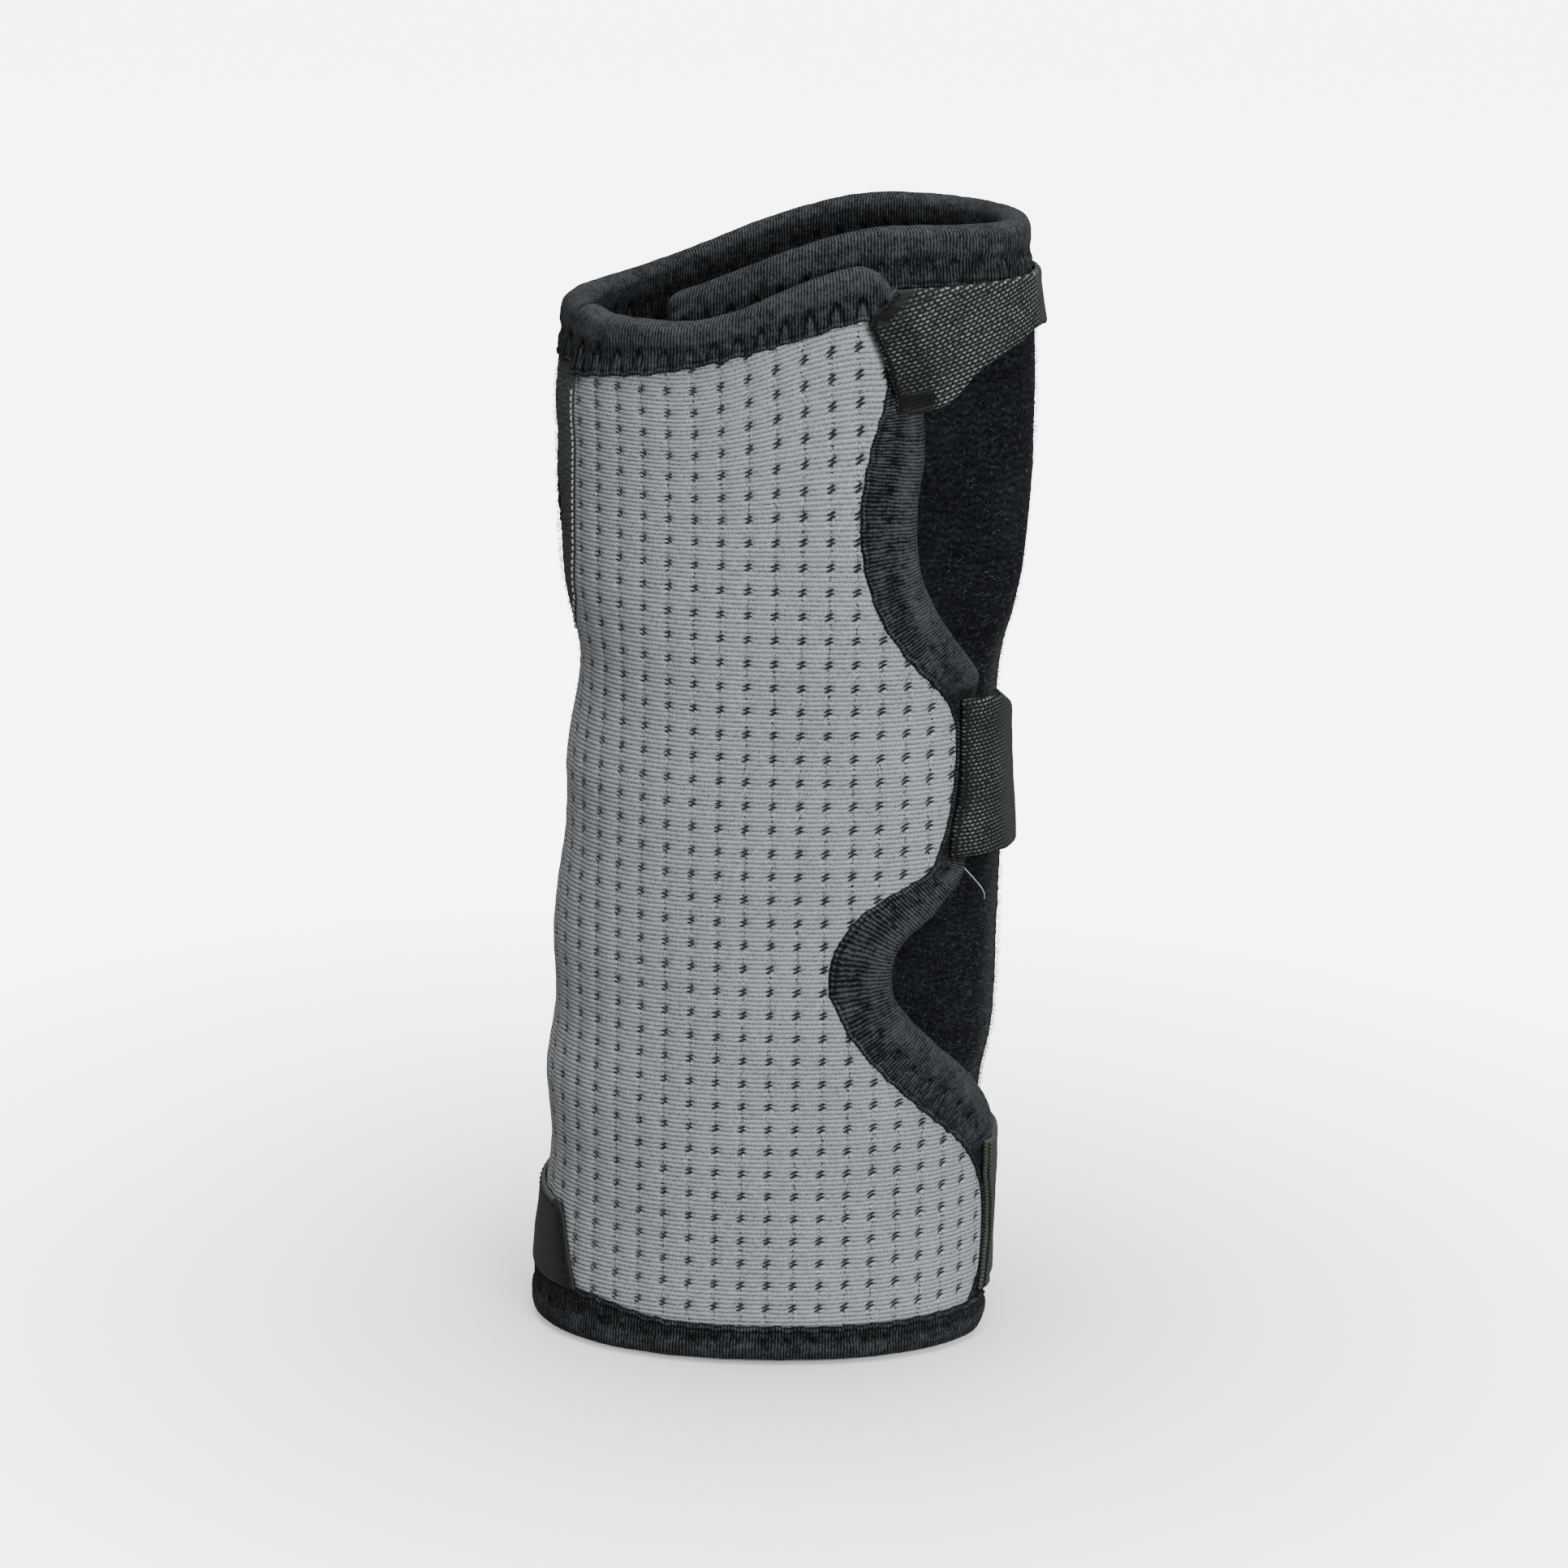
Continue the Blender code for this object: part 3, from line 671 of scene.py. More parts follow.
def loop_panel():
    rows, cols = 300, 420
    z0, s, angle, z, width = pattern(rows, cols, back_edges, back_rim)
    fuzz = 0.07 * noise(s, z0, 2.1, 11) + 0.05 * noise(s, z0, 1.2, 12)
    broad = 0.35 * noise(s, z0, 48.0, 13) + 0.14 * noise(s, z0, 15.0, 14)
    points = wall(angle, z, flap_depth(angle, z0) + fuzz + np.maximum(broad, -0.2))
    # tone: painted backlight on the fuzz along the upper left strip and at the right side
    tone = 0.85 * step((angle - 172) / 14) * step((z - 118) / 12) + 0.32 * np.exp(-((angle - 1) / 7) ** 2)
    faces = grid_faces(rows, cols, keep=~hole_mask(s, z))[:, ::-1]
    obj = new_object("loop_cloth", points, faces, LOOP, np.stack([s, z0], -1), [("tone", tone)])
    solidify(obj, CLOTH)
    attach(obj, "sleeve")
    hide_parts("loop_panel")
    area = float(width.mean() * 189.0) * 1e-6


def padding(name, node, size, edges, rim, depth_of, seed, foot=None, hole=False):
    """Foam with its lining, as a slightly swollen closed pad."""
    z0, s, angle, z, _ = pattern(*size, edges, rim)
    if foot:
        z = np.maximum(z, foot(angle) + 0.3 + 0.002 * z)
    base = depth_of(angle, z0)
    swell = 0.12 * noise(s, z0, 24.0, seed) + 0.05 * noise(s, z0, 9.0, seed + 1)
    obj = slab(name, wall(angle, z, base + FACE + 0.25), wall(angle, z, base + WALL - 0.1 + swell),
               LINING, np.stack([s, z0], -1), keep=~hole_mask(s, z) if hole else None)
    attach(obj, "sleeve")
    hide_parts(node)


def loop_fibres():
    """Short bent fibres standing on the loop fabric, where it shows."""
    count = 30000
    z0 = RNG.uniform(9.0, 182.0, count)
    low = np.maximum(along(EDGE, z0) - 360.0 - 4.0, -70.0)
    high = seam(z0) - 2.0
    angle = low + (high - low) * RNG.uniform(0, 1, count)
    s = arc_of(angle, z0)
    away = np.hypot((s - arc_of(THUMB_ANGLE, THUMB_Z)) / 18.5, (z0 - THUMB_Z) / 23.5) > 1.0
    z0, s = z0[away], s[away]
    n = len(s)
    tall = RNG.uniform(0.25, 0.75, n)
    turn = RNG.uniform(0, 2 * math.pi, n)
    lean = RNG.uniform(0.2, 0.9, n)
    paths = []
    for f in (0.0, 0.4, 0.8, 1.0):
        foot_s, foot_z = s + np.cos(turn) * lean * f * f, z0 + np.sin(turn) * lean * f * f
        angle = angle_of(foot_s, foot_z)
        lift = tall * math.sin(f * 2.2)
        paths.append(wall(angle, stretch(foot_z, back_rim(angle)), 0.05 - lift + flap_depth(angle, foot_z)))
    radii, sides = (0.035, 0.032, 0.028, 0.018), 3
    tint = np.repeat(RNG.uniform(0, 1, n) ** 2.2, len(radii) * sides)
    fibres = threads("loop_fibres", np.stack(paths, 1), radii, FIBRE, sides, [("tint", tint)])
    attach(fibres, "sleeve")


# ---- bindings ----

PUCKER = 4.3         # spacing of the gathers
ROLL = 1.4           # the tape turns over the edge from here on
APEX = 0.58          # how far up the leg the gathers' arches reach
TOP_CORNER, FOOT_CORNER = 291.0, 342.5


def front_top(angle):
    """Line the front rim's tape is folded over; it meets the back at the left, rounds off at the right."""
    join = 0.86 * (1 - step((angle - SEAM_TOP) / 12.0))
    turn = np.clip((angle - TOP_CORNER + 9.0) / 9.0, 0, 1)
    return front_rim(angle) - LIP + join - 5.0 * (1 - np.sqrt(1 - 0.98 * turn ** 2))


def front_foot(angle):
    """Line the front foot's tape is folded over; it rounds up at the right corner."""
    turn = np.clip((angle - 332.0) / 11.0, 0, 1)
    return LIP + 5.5 * (1 - np.sqrt(1 - 0.97 * turn ** 2))


def foam_rim(angle):
    return np.minimum(front_rim(angle), front_top(angle) + LIP)


def back_top(angle):
    return back_rim(angle) - LIP


def back_foot(angle):
    return LIP + 0.0 * angle


def tape_relief(t, w, width, period, seed, arches):
    """Height over the wall of the tape's outer leg, gathered by its zigzag seam, and its tone of painted
    shade and highlight.
    """
    q = np.clip((width - w) / (width - ROLL), 0, 1)
    turn = t / period + 0.10 * noise(t, 0 * t, 31.0, seed + 2)
    a = turn % 1.0 - 0.5
    cell = np.floor(turn)
    each = (0.72 + 0.28 * np.sin(cell * 12.9898 + seed * 3.1)) * step((width - 4.2) / 2.4)
    leg = 0.31 * np.sqrt(np.clip((APEX - q) / APEX, 0, 1))
    inside = np.clip(1 - (np.abs(a) / np.maximum(leg, 0.02)) ** 2, 0, 1) * (q < APEX) * each * arches
    crease = np.exp(-((np.abs(a) - leg) * period / 0.30) ** 2) * step((APEX + 0.05 - q) / 0.1)
    crease = crease * (0.45 + 0.55 * q / APEX) * step(q / 0.12) * each * arches
    shift = 0.05 * np.sin(cell * 7.7 + seed)
    notch = np.exp(-((a - 0.6 * shift) * period / 0.5) ** 2)
    notch = notch * np.exp(-((q - APEX - shift) * (width - ROLL) / 0.6) ** 2) * each
    fan = np.cos(a * period * 2 * np.pi / 0.9) * step((APEX - q) / 0.2) * step(q / 0.2)
    roll = step((q - APEX) / 0.22)
    bead = np.exp(-((width - w - 0.42) / 0.26) ** 2)
    groove = np.exp(-((width - w - 0.95) / 0.22) ** 2)
    height = 0.10 + 0.52 * step((width - w) / 0.5) + 0.33 * roll
    height = height + 0.20 * inside - 0.42 * crease - 0.55 * notch + 0.04 * fan
    height = height + 0.10 * bead - 0.16 * groove
    height = height + 0.09 * noise(t, w, 7.0, seed) + 0.05 * noise(t, w, 1.7, seed + 1)
    # tone is painted light: shade in the creases, notches, groove and along the outer border, highlight on
    # arches, roll and bead
    tone = 0.80 + 0.25 * inside + 0.30 * roll - 0.62 * crease - 0.85 * notch
    tone = tone + 0.30 * bead - 0.40 * groove - 0.55 * (1 - step((width - w) / 0.25))
    tone = tone + 0.20 * noise(t, w, 5.0, seed + 3) + 0.16 * noise(t, w, 1.3, seed + 4)
    return np.maximum(height, 0.04), np.clip(tone, 0.08, 1.6)


def tape(name, nodes, place, length, width, seed, arches=1.0, dull=0.0, closed=False, round_start=True,
         flat=None):
    """Folded tape. place(t, w, d) gives points for distance along t, distance in w and depth d.
    width is a number or a function of t, the darkening amount lowers its tone all over as painted shade, and
    flat(t) is 1 where a strap lies over it."""
    count = int(length / 0.3)
    t = np.linspace(0, length, count + (0 if closed else 1), endpoint=not closed)
    width = (width(t) if callable(width) else np.full(len(t), width))[:, None]
    period = length / round(length / PUCKER) if closed else PUCKER
    n_face, n_turn, n_back, n_inner = 30, 14, 14, 4

    # the face, from the tape's edge to the roll
    f = np.concatenate([np.linspace(0, 0.12, 6)[:-1], np.linspace(0.12, 1, n_face - 5)])[None, :]
    face_w = width + (ROLL - width) * f
    tt = t[:, None] + 0 * face_w
    under = (flat(t) if flat else 0 * t)[:, None]
    height, tone = tape_relief(tt, face_w, width, period, seed, arches)
    jag = np.exp(-((width - face_w - 0.40) / 0.34) ** 2)
    ripple = np.cos(2 * np.pi * tt / 1.7 + 2 * noise(tt, 0 * tt, 9.0, seed + 7))
    thin = 0.06 + 0.36 * jag * (0.8 + 0.3 * ripple)
    height = height + (thin - height) * under
    # where a strap lies over the tape its tone drops to painted shade under the strap, the jagged bead kept
    # lighter
    tone = tone + (0.25 + 0.5 * jag - tone) * under
    face_w = face_w + 0.16 * np.cos(2 * np.pi * tt / period) * (1 - f) ** 2
    fray = 0.10 * np.cos(2 * np.pi * tt / 0.83) + 0.14 * noise(tt, 0 * tt, 2.3, seed + 8)
    face_w = face_w + (1 - f) ** 3 * fray

    # the turn over the panel's edge
    edge = height[:, -1:]
    turn = np.linspace(0, math.pi, n_turn + 2)[1:-1][None, :]
    turn_w = ROLL - (ROLL + 0.9 - 0.5 * under) * np.sin(turn) ** 0.8
    turn_d = WALL / 2 + 0.45 - edge / 2 - (WALL + edge + 0.9) / 2 * np.cos(turn)
    turn_t = t[:, None] + 0 * turn_w
    lump = 0.08 * noise(turn_t, turn_w, 9.0, seed + 5) + 0.04 * noise(turn_t, 3 * turn_w, 2.5, seed + 6)
    turn_w = turn_w - lump * np.sin(turn)

    # the back leg, then the hidden way back to the start between the legs
    back_w = ROLL + (width - ROLL) * np.linspace(0, 1, n_back)[None, :]
    back_h, back_tone = tape_relief(t[:, None] + 0 * back_w, back_w, width, period, seed + 9, arches)
    inward = (width + 0.05) * np.linspace(0, 1, n_inner)[None, :]
    zero = 0 * inward
    w = np.concatenate([face_w, turn_w, back_w, width - 0.05 - inward, inward - 0.1], 1)
    d = np.concatenate([-height, turn_d, WALL + back_h, zero + WALL + 0.02, zero - 0.02], 1)
    # the turn over the edge gets a painted highlight and the back leg painted shade
    tones = [tone, 1.02 + 0.1 * lump / 0.08, back_tone - 0.36, zero + 0.5, zero + 0.5]

    # free ends are pinched together
    full = np.ones(len(t))
    for rounded, near in ((round_start, t), (True, length - t)):
        if rounded and not closed:
            full = full * np.sqrt(np.clip(1 - np.clip(1 - near / 1.6, 0, 1) ** 2, 0.04, 1))
    pinch = 1 - full[:, None]
    d = d + (np.clip(-d, 0, None) - np.clip(d - WALL, 0, None)) * pinch
    w = w + np.clip(-w, 0, None) * pinch

    middle = len(t) // 2
    run = np.concatenate([[0], np.cumsum(np.hypot(np.diff(w[middle]), np.diff(d[middle])))])
    rows, cols = w.shape
    all_t = t[:, None] + 0 * w
    faces = grid_faces(rows, cols, wrap_cols=True, wrap_rows=closed)
    if not closed:
        a = np.arange(cols // 2 - 1)
        cap = np.stack([a, a + 1, cols - 2 - a, cols - 1 - a], -1)
        faces = np.concatenate([faces, cap[:, ::-1], cap + (rows - 1) * cols])
    # the tone less the darkening amount, painted shade over the whole tape
    obj = new_object(name, place(all_t, w, d), faces, TAPE, np.stack([all_t, run + 0 * w], -1),
                     [("tone", np.concatenate(tones, 1) - dull)])
    fix_normals(obj)
    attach(obj, "sleeve")
    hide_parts(*nodes)


def rim_tape(name, node, first, last, line, depth_of, inward, width, seed, **look):
    """Tape folded over the line at a rim, between two angles; width goes by the angle, inward is -1 or 1."""
    angles = np.linspace(first, last, 800)
    points = wall(angles, line(angles), depth_of(angles, line(angles)))
    run = np.concatenate([[0], np.cumsum(np.linalg.norm(np.diff(points, axis=0), axis=1))])

    def place(t, w, d):
        angle = np.interp(t, run, angles)
        z = line(angle) + inward * w
        return wall(angle, z, d + depth_of(angle, z))
    tape(name, (node,), place, run[-1], lambda t: width(np.interp(t, run, angles)), seed, **look)


def smooth_line(values, count):
    kernel = np.hanning(count + 2)[1:-1]
    return np.convolve(np.pad(values, count // 2, mode="edge"), kernel / kernel.sum(), mode="valid")


def edge_tape():
    """One tape along the whole scalloped edge; its inner border is where the grey knit ends."""
    z = np.linspace(7.4, 186.8, 1700)
    s = arc_of(along(EDGE, z), z)
    t = np.concatenate([[0], np.cumsum(np.hypot(np.diff(z), np.diff(s)))])
    grey_z = np.linspace(7.0, 187.5, 2600)
    grey_s = arc_of(along(GREY_RIGHT, grey_z), grey_z)
    ds, dz = np.gradient(s, t), np.gradient(z, t)
    aims = zip(s - 7.0 * smooth_line(dz, 61), z + 7.0 * smooth_line(ds, 61))
    near = np.array([np.argmin((grey_s - a) ** 2 + (grey_z - b) ** 2) for a, b in aims]).astype(float)
    near = smooth_line(np.maximum.accumulate(near), 121)
    index = np.arange(len(grey_z))
    in_s, in_z = np.interp(near, index, grey_s), np.interp(near, index, grey_z)
    width = np.hypot(in_s - s, in_z - z)
    ds, dz = (in_s - s) / width, (in_z - z) / width

    def place(tt, w, d):
        zz = np.interp(tt, t, z) + w * np.interp(tt, t, dz)
        ss = np.interp(tt, t, s) + w * np.interp(tt, t, ds)
        angle = angle_of(ss, zz)
        return wall(angle, stretch(zz, front_rim(angle)), d)

    def flat(tt):
        zz = np.interp(tt, t, z)
        middle = step((zz - 89.5) / 2.5) * (1 - step((zz - 121.5) / 2.5))
        return np.maximum(middle, np.maximum(1 - step((zz - 36.0) / 3.0), step((zz - 170.5) / 2.5)))
    nodes = "upper_scallop_binding", "lower_scallop_binding", "middle_tab_edging", "bottom_tab_edging"
    tape("edge_tape", nodes, place, float(t[-1]), lambda tt: np.interp(tt, t, width) + 0.25, 5,
         arches=0.6, dull=0.08, flat=flat)


def bindings():
    # each tape's darkening amount is painted shade, for how little light reaches that rim
    rim_tape("front_top_tape", "front_top_binding", SEAM_TOP - 0.9, TOP_CORNER, front_top, on_wall, -1,
             lambda angle: front_top(angle) - along(GREY_TOP, angle) + 0.25, 1, arches=1.7, dull=0.08,
             round_start=False)
    rim_tape("front_bottom_tape", "front_bottom_binding", SEAM_FOOT - 0.9, FOOT_CORNER, front_foot, on_wall,
             1, lambda angle: np.maximum(along(GREY_FOOT, angle) - front_foot(angle) + 0.25, 2.4), 2,
             arches=0.6, dull=0.36)
    rim_tape("back_top_tape", "back_top_binding", SEAM_TOP - 0.2, FLAP_END, back_top, flap_depth, -1,
             lambda angle: 9.4 + 0 * angle, 3, arches=1.1, dull=0.26, round_start=False)
    rim_tape("back_bottom_tape", "back_bottom_binding", SEAM_FOOT + 0.9, FLAP_END, back_foot, flap_depth, 1,
             lambda angle: 6.4 + 0 * angle, 4, arches=0.5)
    edge_tape()

    def flap_place(t, w, d):
        z = 8.6 + t
        return wall(angle_of(arc_of(FLAP_END, z) + w, z), z, d + FLAP_DEPTH)
    tape("flap_end_tape", ("flap_end_binding",), flap_place, 169.7, 7.8, 9)

    turns = np.linspace(0, 2 * math.pi, 721)
    ring = np.stack([THUMB_HALF[0] * np.cos(turns), THUMB_HALF[1] * np.sin(turns)], -1)
    run = np.concatenate([[0], np.cumsum(np.linalg.norm(np.diff(ring, axis=0), axis=1))])

    def thumb_place(t, w, d):
        turn = np.interp(t, run, turns)
        s = arc_of(THUMB_ANGLE, THUMB_Z) + (THUMB_HALF[0] + w) * np.cos(turn)
        z = THUMB_Z + (THUMB_HALF[1] + w) * np.sin(turn)
        return wall(angle_of(s, z), z, d)
    tape("thumb_tape", ("thumb_binding",), thumb_place, float(run[-1]), 5.4, 10, closed=True)


# ---- straps ----

# end: angle; lower, upper: (angle, height) of the edges; rise: over the wall past the bound edge;
# root: (height, angle) where it meets the front panel; fold, toward: where and which way a bend would go;
# dip: past the right side; slant, turn: of the weave; tone: of its dashes; dark, dark_span: of the root;
# plain: (amount, angle, span) of the stretch where the weave looks even
Strap = namedtuple(
    "Strap", "name end lower upper rise root fold toward dip slant turn tone dark dark_span plain")
STRAPS = [
    Strap("top", 455.0,
          [(290, 171.8), (294, 171.5), (300, 172.4), (304, 173.4), (307.8, 175.2), (311, 177.3),
           (316, 179.2), (322, 180.8), (333, 182.8), (341, 184.0), (358, 183), (400, 177.5), (455, 165)],
          [(290, 192.4), (300, 192.8), (350, 193.0), (400, 191), (455, 181)], 1.6,
          [(171.0, 290.5), (174.6, 290.7), (179.0, 288.9), (183.0, 287.0), (187.0, 284.6), (188.6, 285.4),
           (190.5, 288.6), (192.6, 291.6)],
          (16.5, -28.0), (0.6, 0.8), 0.5, 6.5, 5.5, 1.05, 0.45, 6.2, (0.25, 338, 12)),
    Strap("middle", 432.0, [(300, 92.8), (325, 92.2), (360, 90.6), (450, 90.0)],
          [(300, 120.6), (322, 120.4), (340, 119.2), (350, 117.4), (360, 115.2), (385, 115.2), (410, 117.5),
           (450, 118.0)], 0.5,
          [(91.0, 313.8), (95.0, 314.2), (98.4, 315.3), (102.8, 317.5), (107.4, 319.1), (114.0, 319.4),
           (121.0, 318.6)],
          (31.0, -22.0), (0.0, 1.0), 0.2, 0.0, 0.0, 0.62, 0.2, 1.6, (0.5, 332, 14)),
    Strap("bottom", 436.0, [(300, 8.6), (360, 8.9), (400, 9.5), (450, 9.5)],
          [(300, 37.6), (345, 37.4), (360, 36.4), (450, 36.4)], 0.5,
          [(8.0, 335.4), (10.8, 337.0), (20.0, 339.4), (26.0, 338.6), (31.0, 336.3), (38.0, 335.8)],
          (39.0, -12.5), (0.0, 1.0), 1.4, 0.0, 0.0, 0.45, 0.2, 1.5, (1.0, 0, 1)),
]
STRAP, STRAP_RISE, HOOK, HOOK_SPAN = 1.2, 1.6, 0.85, 34.0
ROOT_THIN = 0.35     # how much thinner the webbing is at its root
TOP_TACKS = ((0.20, 6.2), (0.70, 3.2))   # (place across, length) of pressed patches at the top root


def strap_edges(spec, angle):
    return along(spec.lower, angle), along(spec.upper, angle)


def strap_rise(spec, angle, past_root):
    """Height of the webbing's inner face above the wall."""
    hooks = step((angle - spec.end + HOOK_SPAN + 14) / 10)
    dip = spec.dip * step((angle - 341) / 8) * (1 - step((angle - 376) / 16))
    return 0.30 + (spec.rise - 0.30) * step(past_root / 9.0) + (STRAP_RISE - spec.rise) * hooks - dip


def bend(obj):
    """Bakes the piece's placement into its mesh points."""
    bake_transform(obj)


def strap(spec):
    """Rows across the strap, columns along it; run is the length from the root."""
    rows, cols = 130, 230
    t = np.linspace(0, 1, rows)[:, None]
    low, high = strap_edges(spec, 300.0)
    root = np.interp(low + (high - low) * t, *np.transpose(spec.root))
    angle = root + (spec.end - root) * np.linspace(0, 1, cols)[None, :] ** 1.15
    low, high = strap_edges(spec, angle)
    z = low + (high - low) * t
    t = t + 0 * z
    flat = wall(angle, z, 0.0)
    run = np.cumsum(np.linalg.norm(np.diff(flat, axis=1, prepend=flat[:, :1]), axis=2), axis=1)
    rise = strap_rise(spec, angle, run)

    s, slant = arc_of(angle, z), math.radians(spec.slant)
    along_web = s * math.cos(slant) + z * math.sin(slant)
    across = z * math.cos(slant) - s * math.sin(slant)
    across = across - spec.turn * np.tanh((s - arc_of(300.0, 180.0)) / 25.0)
    near_edge = (1 - np.abs(t - 0.5) * 2) * (z[-1:] - z[:1]) / 2
    edge_round = 0.40 * np.clip(1 - near_edge / 0.7, 0, 1) ** 2
    cord = 0.06 * np.cos(2 * math.pi * across / WEB_ROW + math.pi)
    wave = 0.12 * noise(run, across, 19.0, 31) + 0.04 * noise(run, across, 5.0, 32)
    thin = ROOT_THIN * (1 - step(run / 6.0))
    tip = np.clip(1 - (run[:, -1:] - run) / 1.0, 0, 1) ** 2
    top = wall(angle, z, -(rise + STRAP - thin - edge_round + cord + wave - 0.4 * tip))
    under = wall(angle, z, -(rise + 0.5 * edge_round + 0.3 * wave + 0.2 * tip))

    tone = spec.tone - spec.dark * (1 - step((run - spec.dark_span) / 1.2))
    tone = np.clip(tone + 0.18 * noise(run, across, 9.0, 33), 0.1, 1.4)
    amount, first, span = spec.plain
    plain = amount * step((angle - first) / span)
    if spec.name == "top":
        (low_t, low_run), (high_t, high_run) = TOP_TACKS
        tack = (step((t - high_t) / 0.03) * step((high_run - run) / 0.5)
                + step((low_t - t) / 0.03) * step((low_run - run) / 0.5) * step((run - 0.4) / 0.3))
        tone, plain = tone * (1 - 0.9 * tack), np.maximum(plain, 0.25 * tack)
    tone = tone * (1 - 0.75 * np.clip(2 * plain, 0, 1))
    obj = slab(spec.name + "_webbing", top, under, WEB, np.stack([along_web, across], -1),
               [("tone", tone), ("plain", plain)])
    bend(obj)
    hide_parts(spec.name + "_strap")
    strap_stitches(spec, angle, run, rise)
    hook_tab(spec)


def strap_stitches(spec, angle, run, rise):
    """Zigzag along the root, tacks at the top strap's root corners and a box seam over the hooks."""
    rows = len(run)
    paths = []

    def add(a, b, lift=0.08, arch=0.12):
        """One stitch between two (place across, length from the root) points."""
        k = np.linspace(0, 1, 5)
        t, far = a[0] + (b[0] - a[0]) * k, a[1] + (b[1] - a[1]) * k
        row = np.clip(t * (rows - 1), 0, rows - 1.001)
        i = row.astype(int)
        at = [(1 - m) * np.interp(r, run[j], angle[j]) + m * np.interp(r, run[j + 1], angle[j + 1])
              for j, m, r in zip(i, row - i, far)]
        up = np.array([np.interp(r, run[j], rise[j]) for j, r in zip(i, far)])
        low, high = strap_edges(spec, np.array(at))
        up = up + STRAP - ROOT_THIN * (1 - step(far / 6.0)) + lift + arch * np.sin(np.pi * k)
        paths.append(wall(at, low + (high - low) * t, -up))
    teeth = 34
    for k in range(teeth):
        a, b, c = (0.02 + 0.96 * (k + part) / teeth for part in (0, 0.5, 1))
        add((a, 0.25), (b, 1.1))
        add((b, 1.1), (c, 0.25))
    if spec.name == "top":
        for t0, first, last in ((0.05, 0.9, 6.0), (0.76, 0.6, 2.8)):
            for r in np.linspace(first, last, 16):
                add((t0, r), (t0 + 0.11, r + 0.15), -0.04, 0.10)
    length = float(run[rows // 2, -1])
    for r in (length - 3.0, length - 22.0):
        for k in range(18):
            a = 0.12 + 0.76 * k / 18
            add((a, r), (a + 0.034, r))
    for t in (0.12, 0.88):
        for k in range(14):
            r = length - 22.0 + 19.0 * k / 14
            add((t, r), (t, r + 1.1))
    bend(threads(spec.name + "_strap_stitch", paths, 0.12, BLACK_THREAD))


def hook_tab(spec):
    t, f = np.meshgrid(np.linspace(0.025, 0.975, 60), np.linspace(0, 1, 60), indexing="ij")
    angle = spec.end - HOOK_SPAN * (1 - f)
    low, high = strap_edges(spec, angle)
    z = low + (high - low) * t
    peg = 0.09 * np.cos(2 * math.pi * f * 22) * np.cos(2 * math.pi * t * 18)
    obj = slab(spec.name + "_hooks", wall(angle, z, -(0.35 + HOOK + 0.3)), wall(angle, z, -(0.30 + peg)),
               HOOKS, np.stack([f * 20, t * 26], -1))
    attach(obj, spec.name + "_strap")
    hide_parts(spec.name + "_hook_tab")


# ---- label, seam, stay pocket ----

LABEL_FOOT, LABEL_TOP, LABEL_CLIMB = 9.5, 24.5, 0.12    # it stands higher at its left
LABEL_LEFT, LABEL_RIGHT, LABEL_SLANT = float(arc_of(149.0, 20.0)), -40.0, 4.5
LABEL_LIFT, LABEL_THICK, LABEL_CORNER = 0.35, 0.85, 2.2
K = np.linspace(0, 1, 5)            # along one stitch
HUMP = np.sin(np.pi * K)            # and how it bulges


def label_right(z):
    """The label's slanted right edge."""
    return LABEL_RIGHT + LABEL_SLANT * (1 - (z - LABEL_FOOT) / (LABEL_TOP - LABEL_FOOT))


def label():
    """Blank label wrapped round the left side, with its stitches."""
    rows, cols = 60, 90
    z, f = np.meshgrid(np.linspace(LABEL_FOOT, LABEL_TOP, rows), np.linspace(0, 1, cols), indexing="ij")
    cut = LABEL_CORNER * np.clip(1 - (LABEL_TOP - z) / LABEL_CORNER, 0, 1) ** 2
    s = LABEL_LEFT + (label_right(z) - LABEL_LEFT) * f
    s = np.minimum(s, label_right(z) - cut * 0.6)
    t = (z - LABEL_FOOT) / (LABEL_TOP - LABEL_FOOT)
    z = LABEL_FOOT + (z - LABEL_FOOT) * (1 + LABEL_CLIMB * (1 - f))
    rim = np.minimum(np.minimum(f, 1 - f) * cols / 4, np.minimum(t, 1 - t) * rows / 4)
    soft = 0.55 * LABEL_THICK * (1 - np.clip(rim, 0, 1)) ** 2
    wave = 0.05 * noise(s, z, 8.0, 40)
    # tone: painted highlight along the rim except at the right end
    tone = 0.85 * (1 - np.clip(rim / 0.6, 0, 1)) * (f < 0.9) + 0.05 * noise(s, z, 6.0, 41)
    # painted shadow darkening the right end
    tone = tone - 0.25 * step((f - 0.82) / 0.18)
    angle = angle_of(s, z)
    obj = slab("blank_label", wall(angle, z, -(LABEL_LIFT + LABEL_THICK - soft + wave)),
               wall(angle, z, -LABEL_LIFT), LABEL, np.stack([s, z], -1), [("tone", tone)])
    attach(obj, "sleeve")
    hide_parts("side_label")

    length, gap, inset = 1.3, 1.9, 1.0
    over = -(LABEL_LIFT + LABEL_THICK + 0.02) - 0.10 * HUMP
    paths = []
    for first in np.arange(LABEL_LEFT + inset, LABEL_RIGHT - 2.0, gap):
        s = first + length * K
        climb = 1 + LABEL_CLIMB * (LABEL_RIGHT - s) / (LABEL_RIGHT - LABEL_LEFT)
        z = LABEL_FOOT + (LABEL_TOP - inset - LABEL_FOOT) * climb
        paths.append(wall(angle_of(s, z), z, over))
    for first in np.arange(LABEL_FOOT + inset, LABEL_TOP - 2.5, gap):
        z = first + length * K
        paths.append(wall(angle_of(label_right(first) - inset, z), z, over))
    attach(threads("label_stitch", paths, 0.11, BLACK_THREAD), "sleeve")


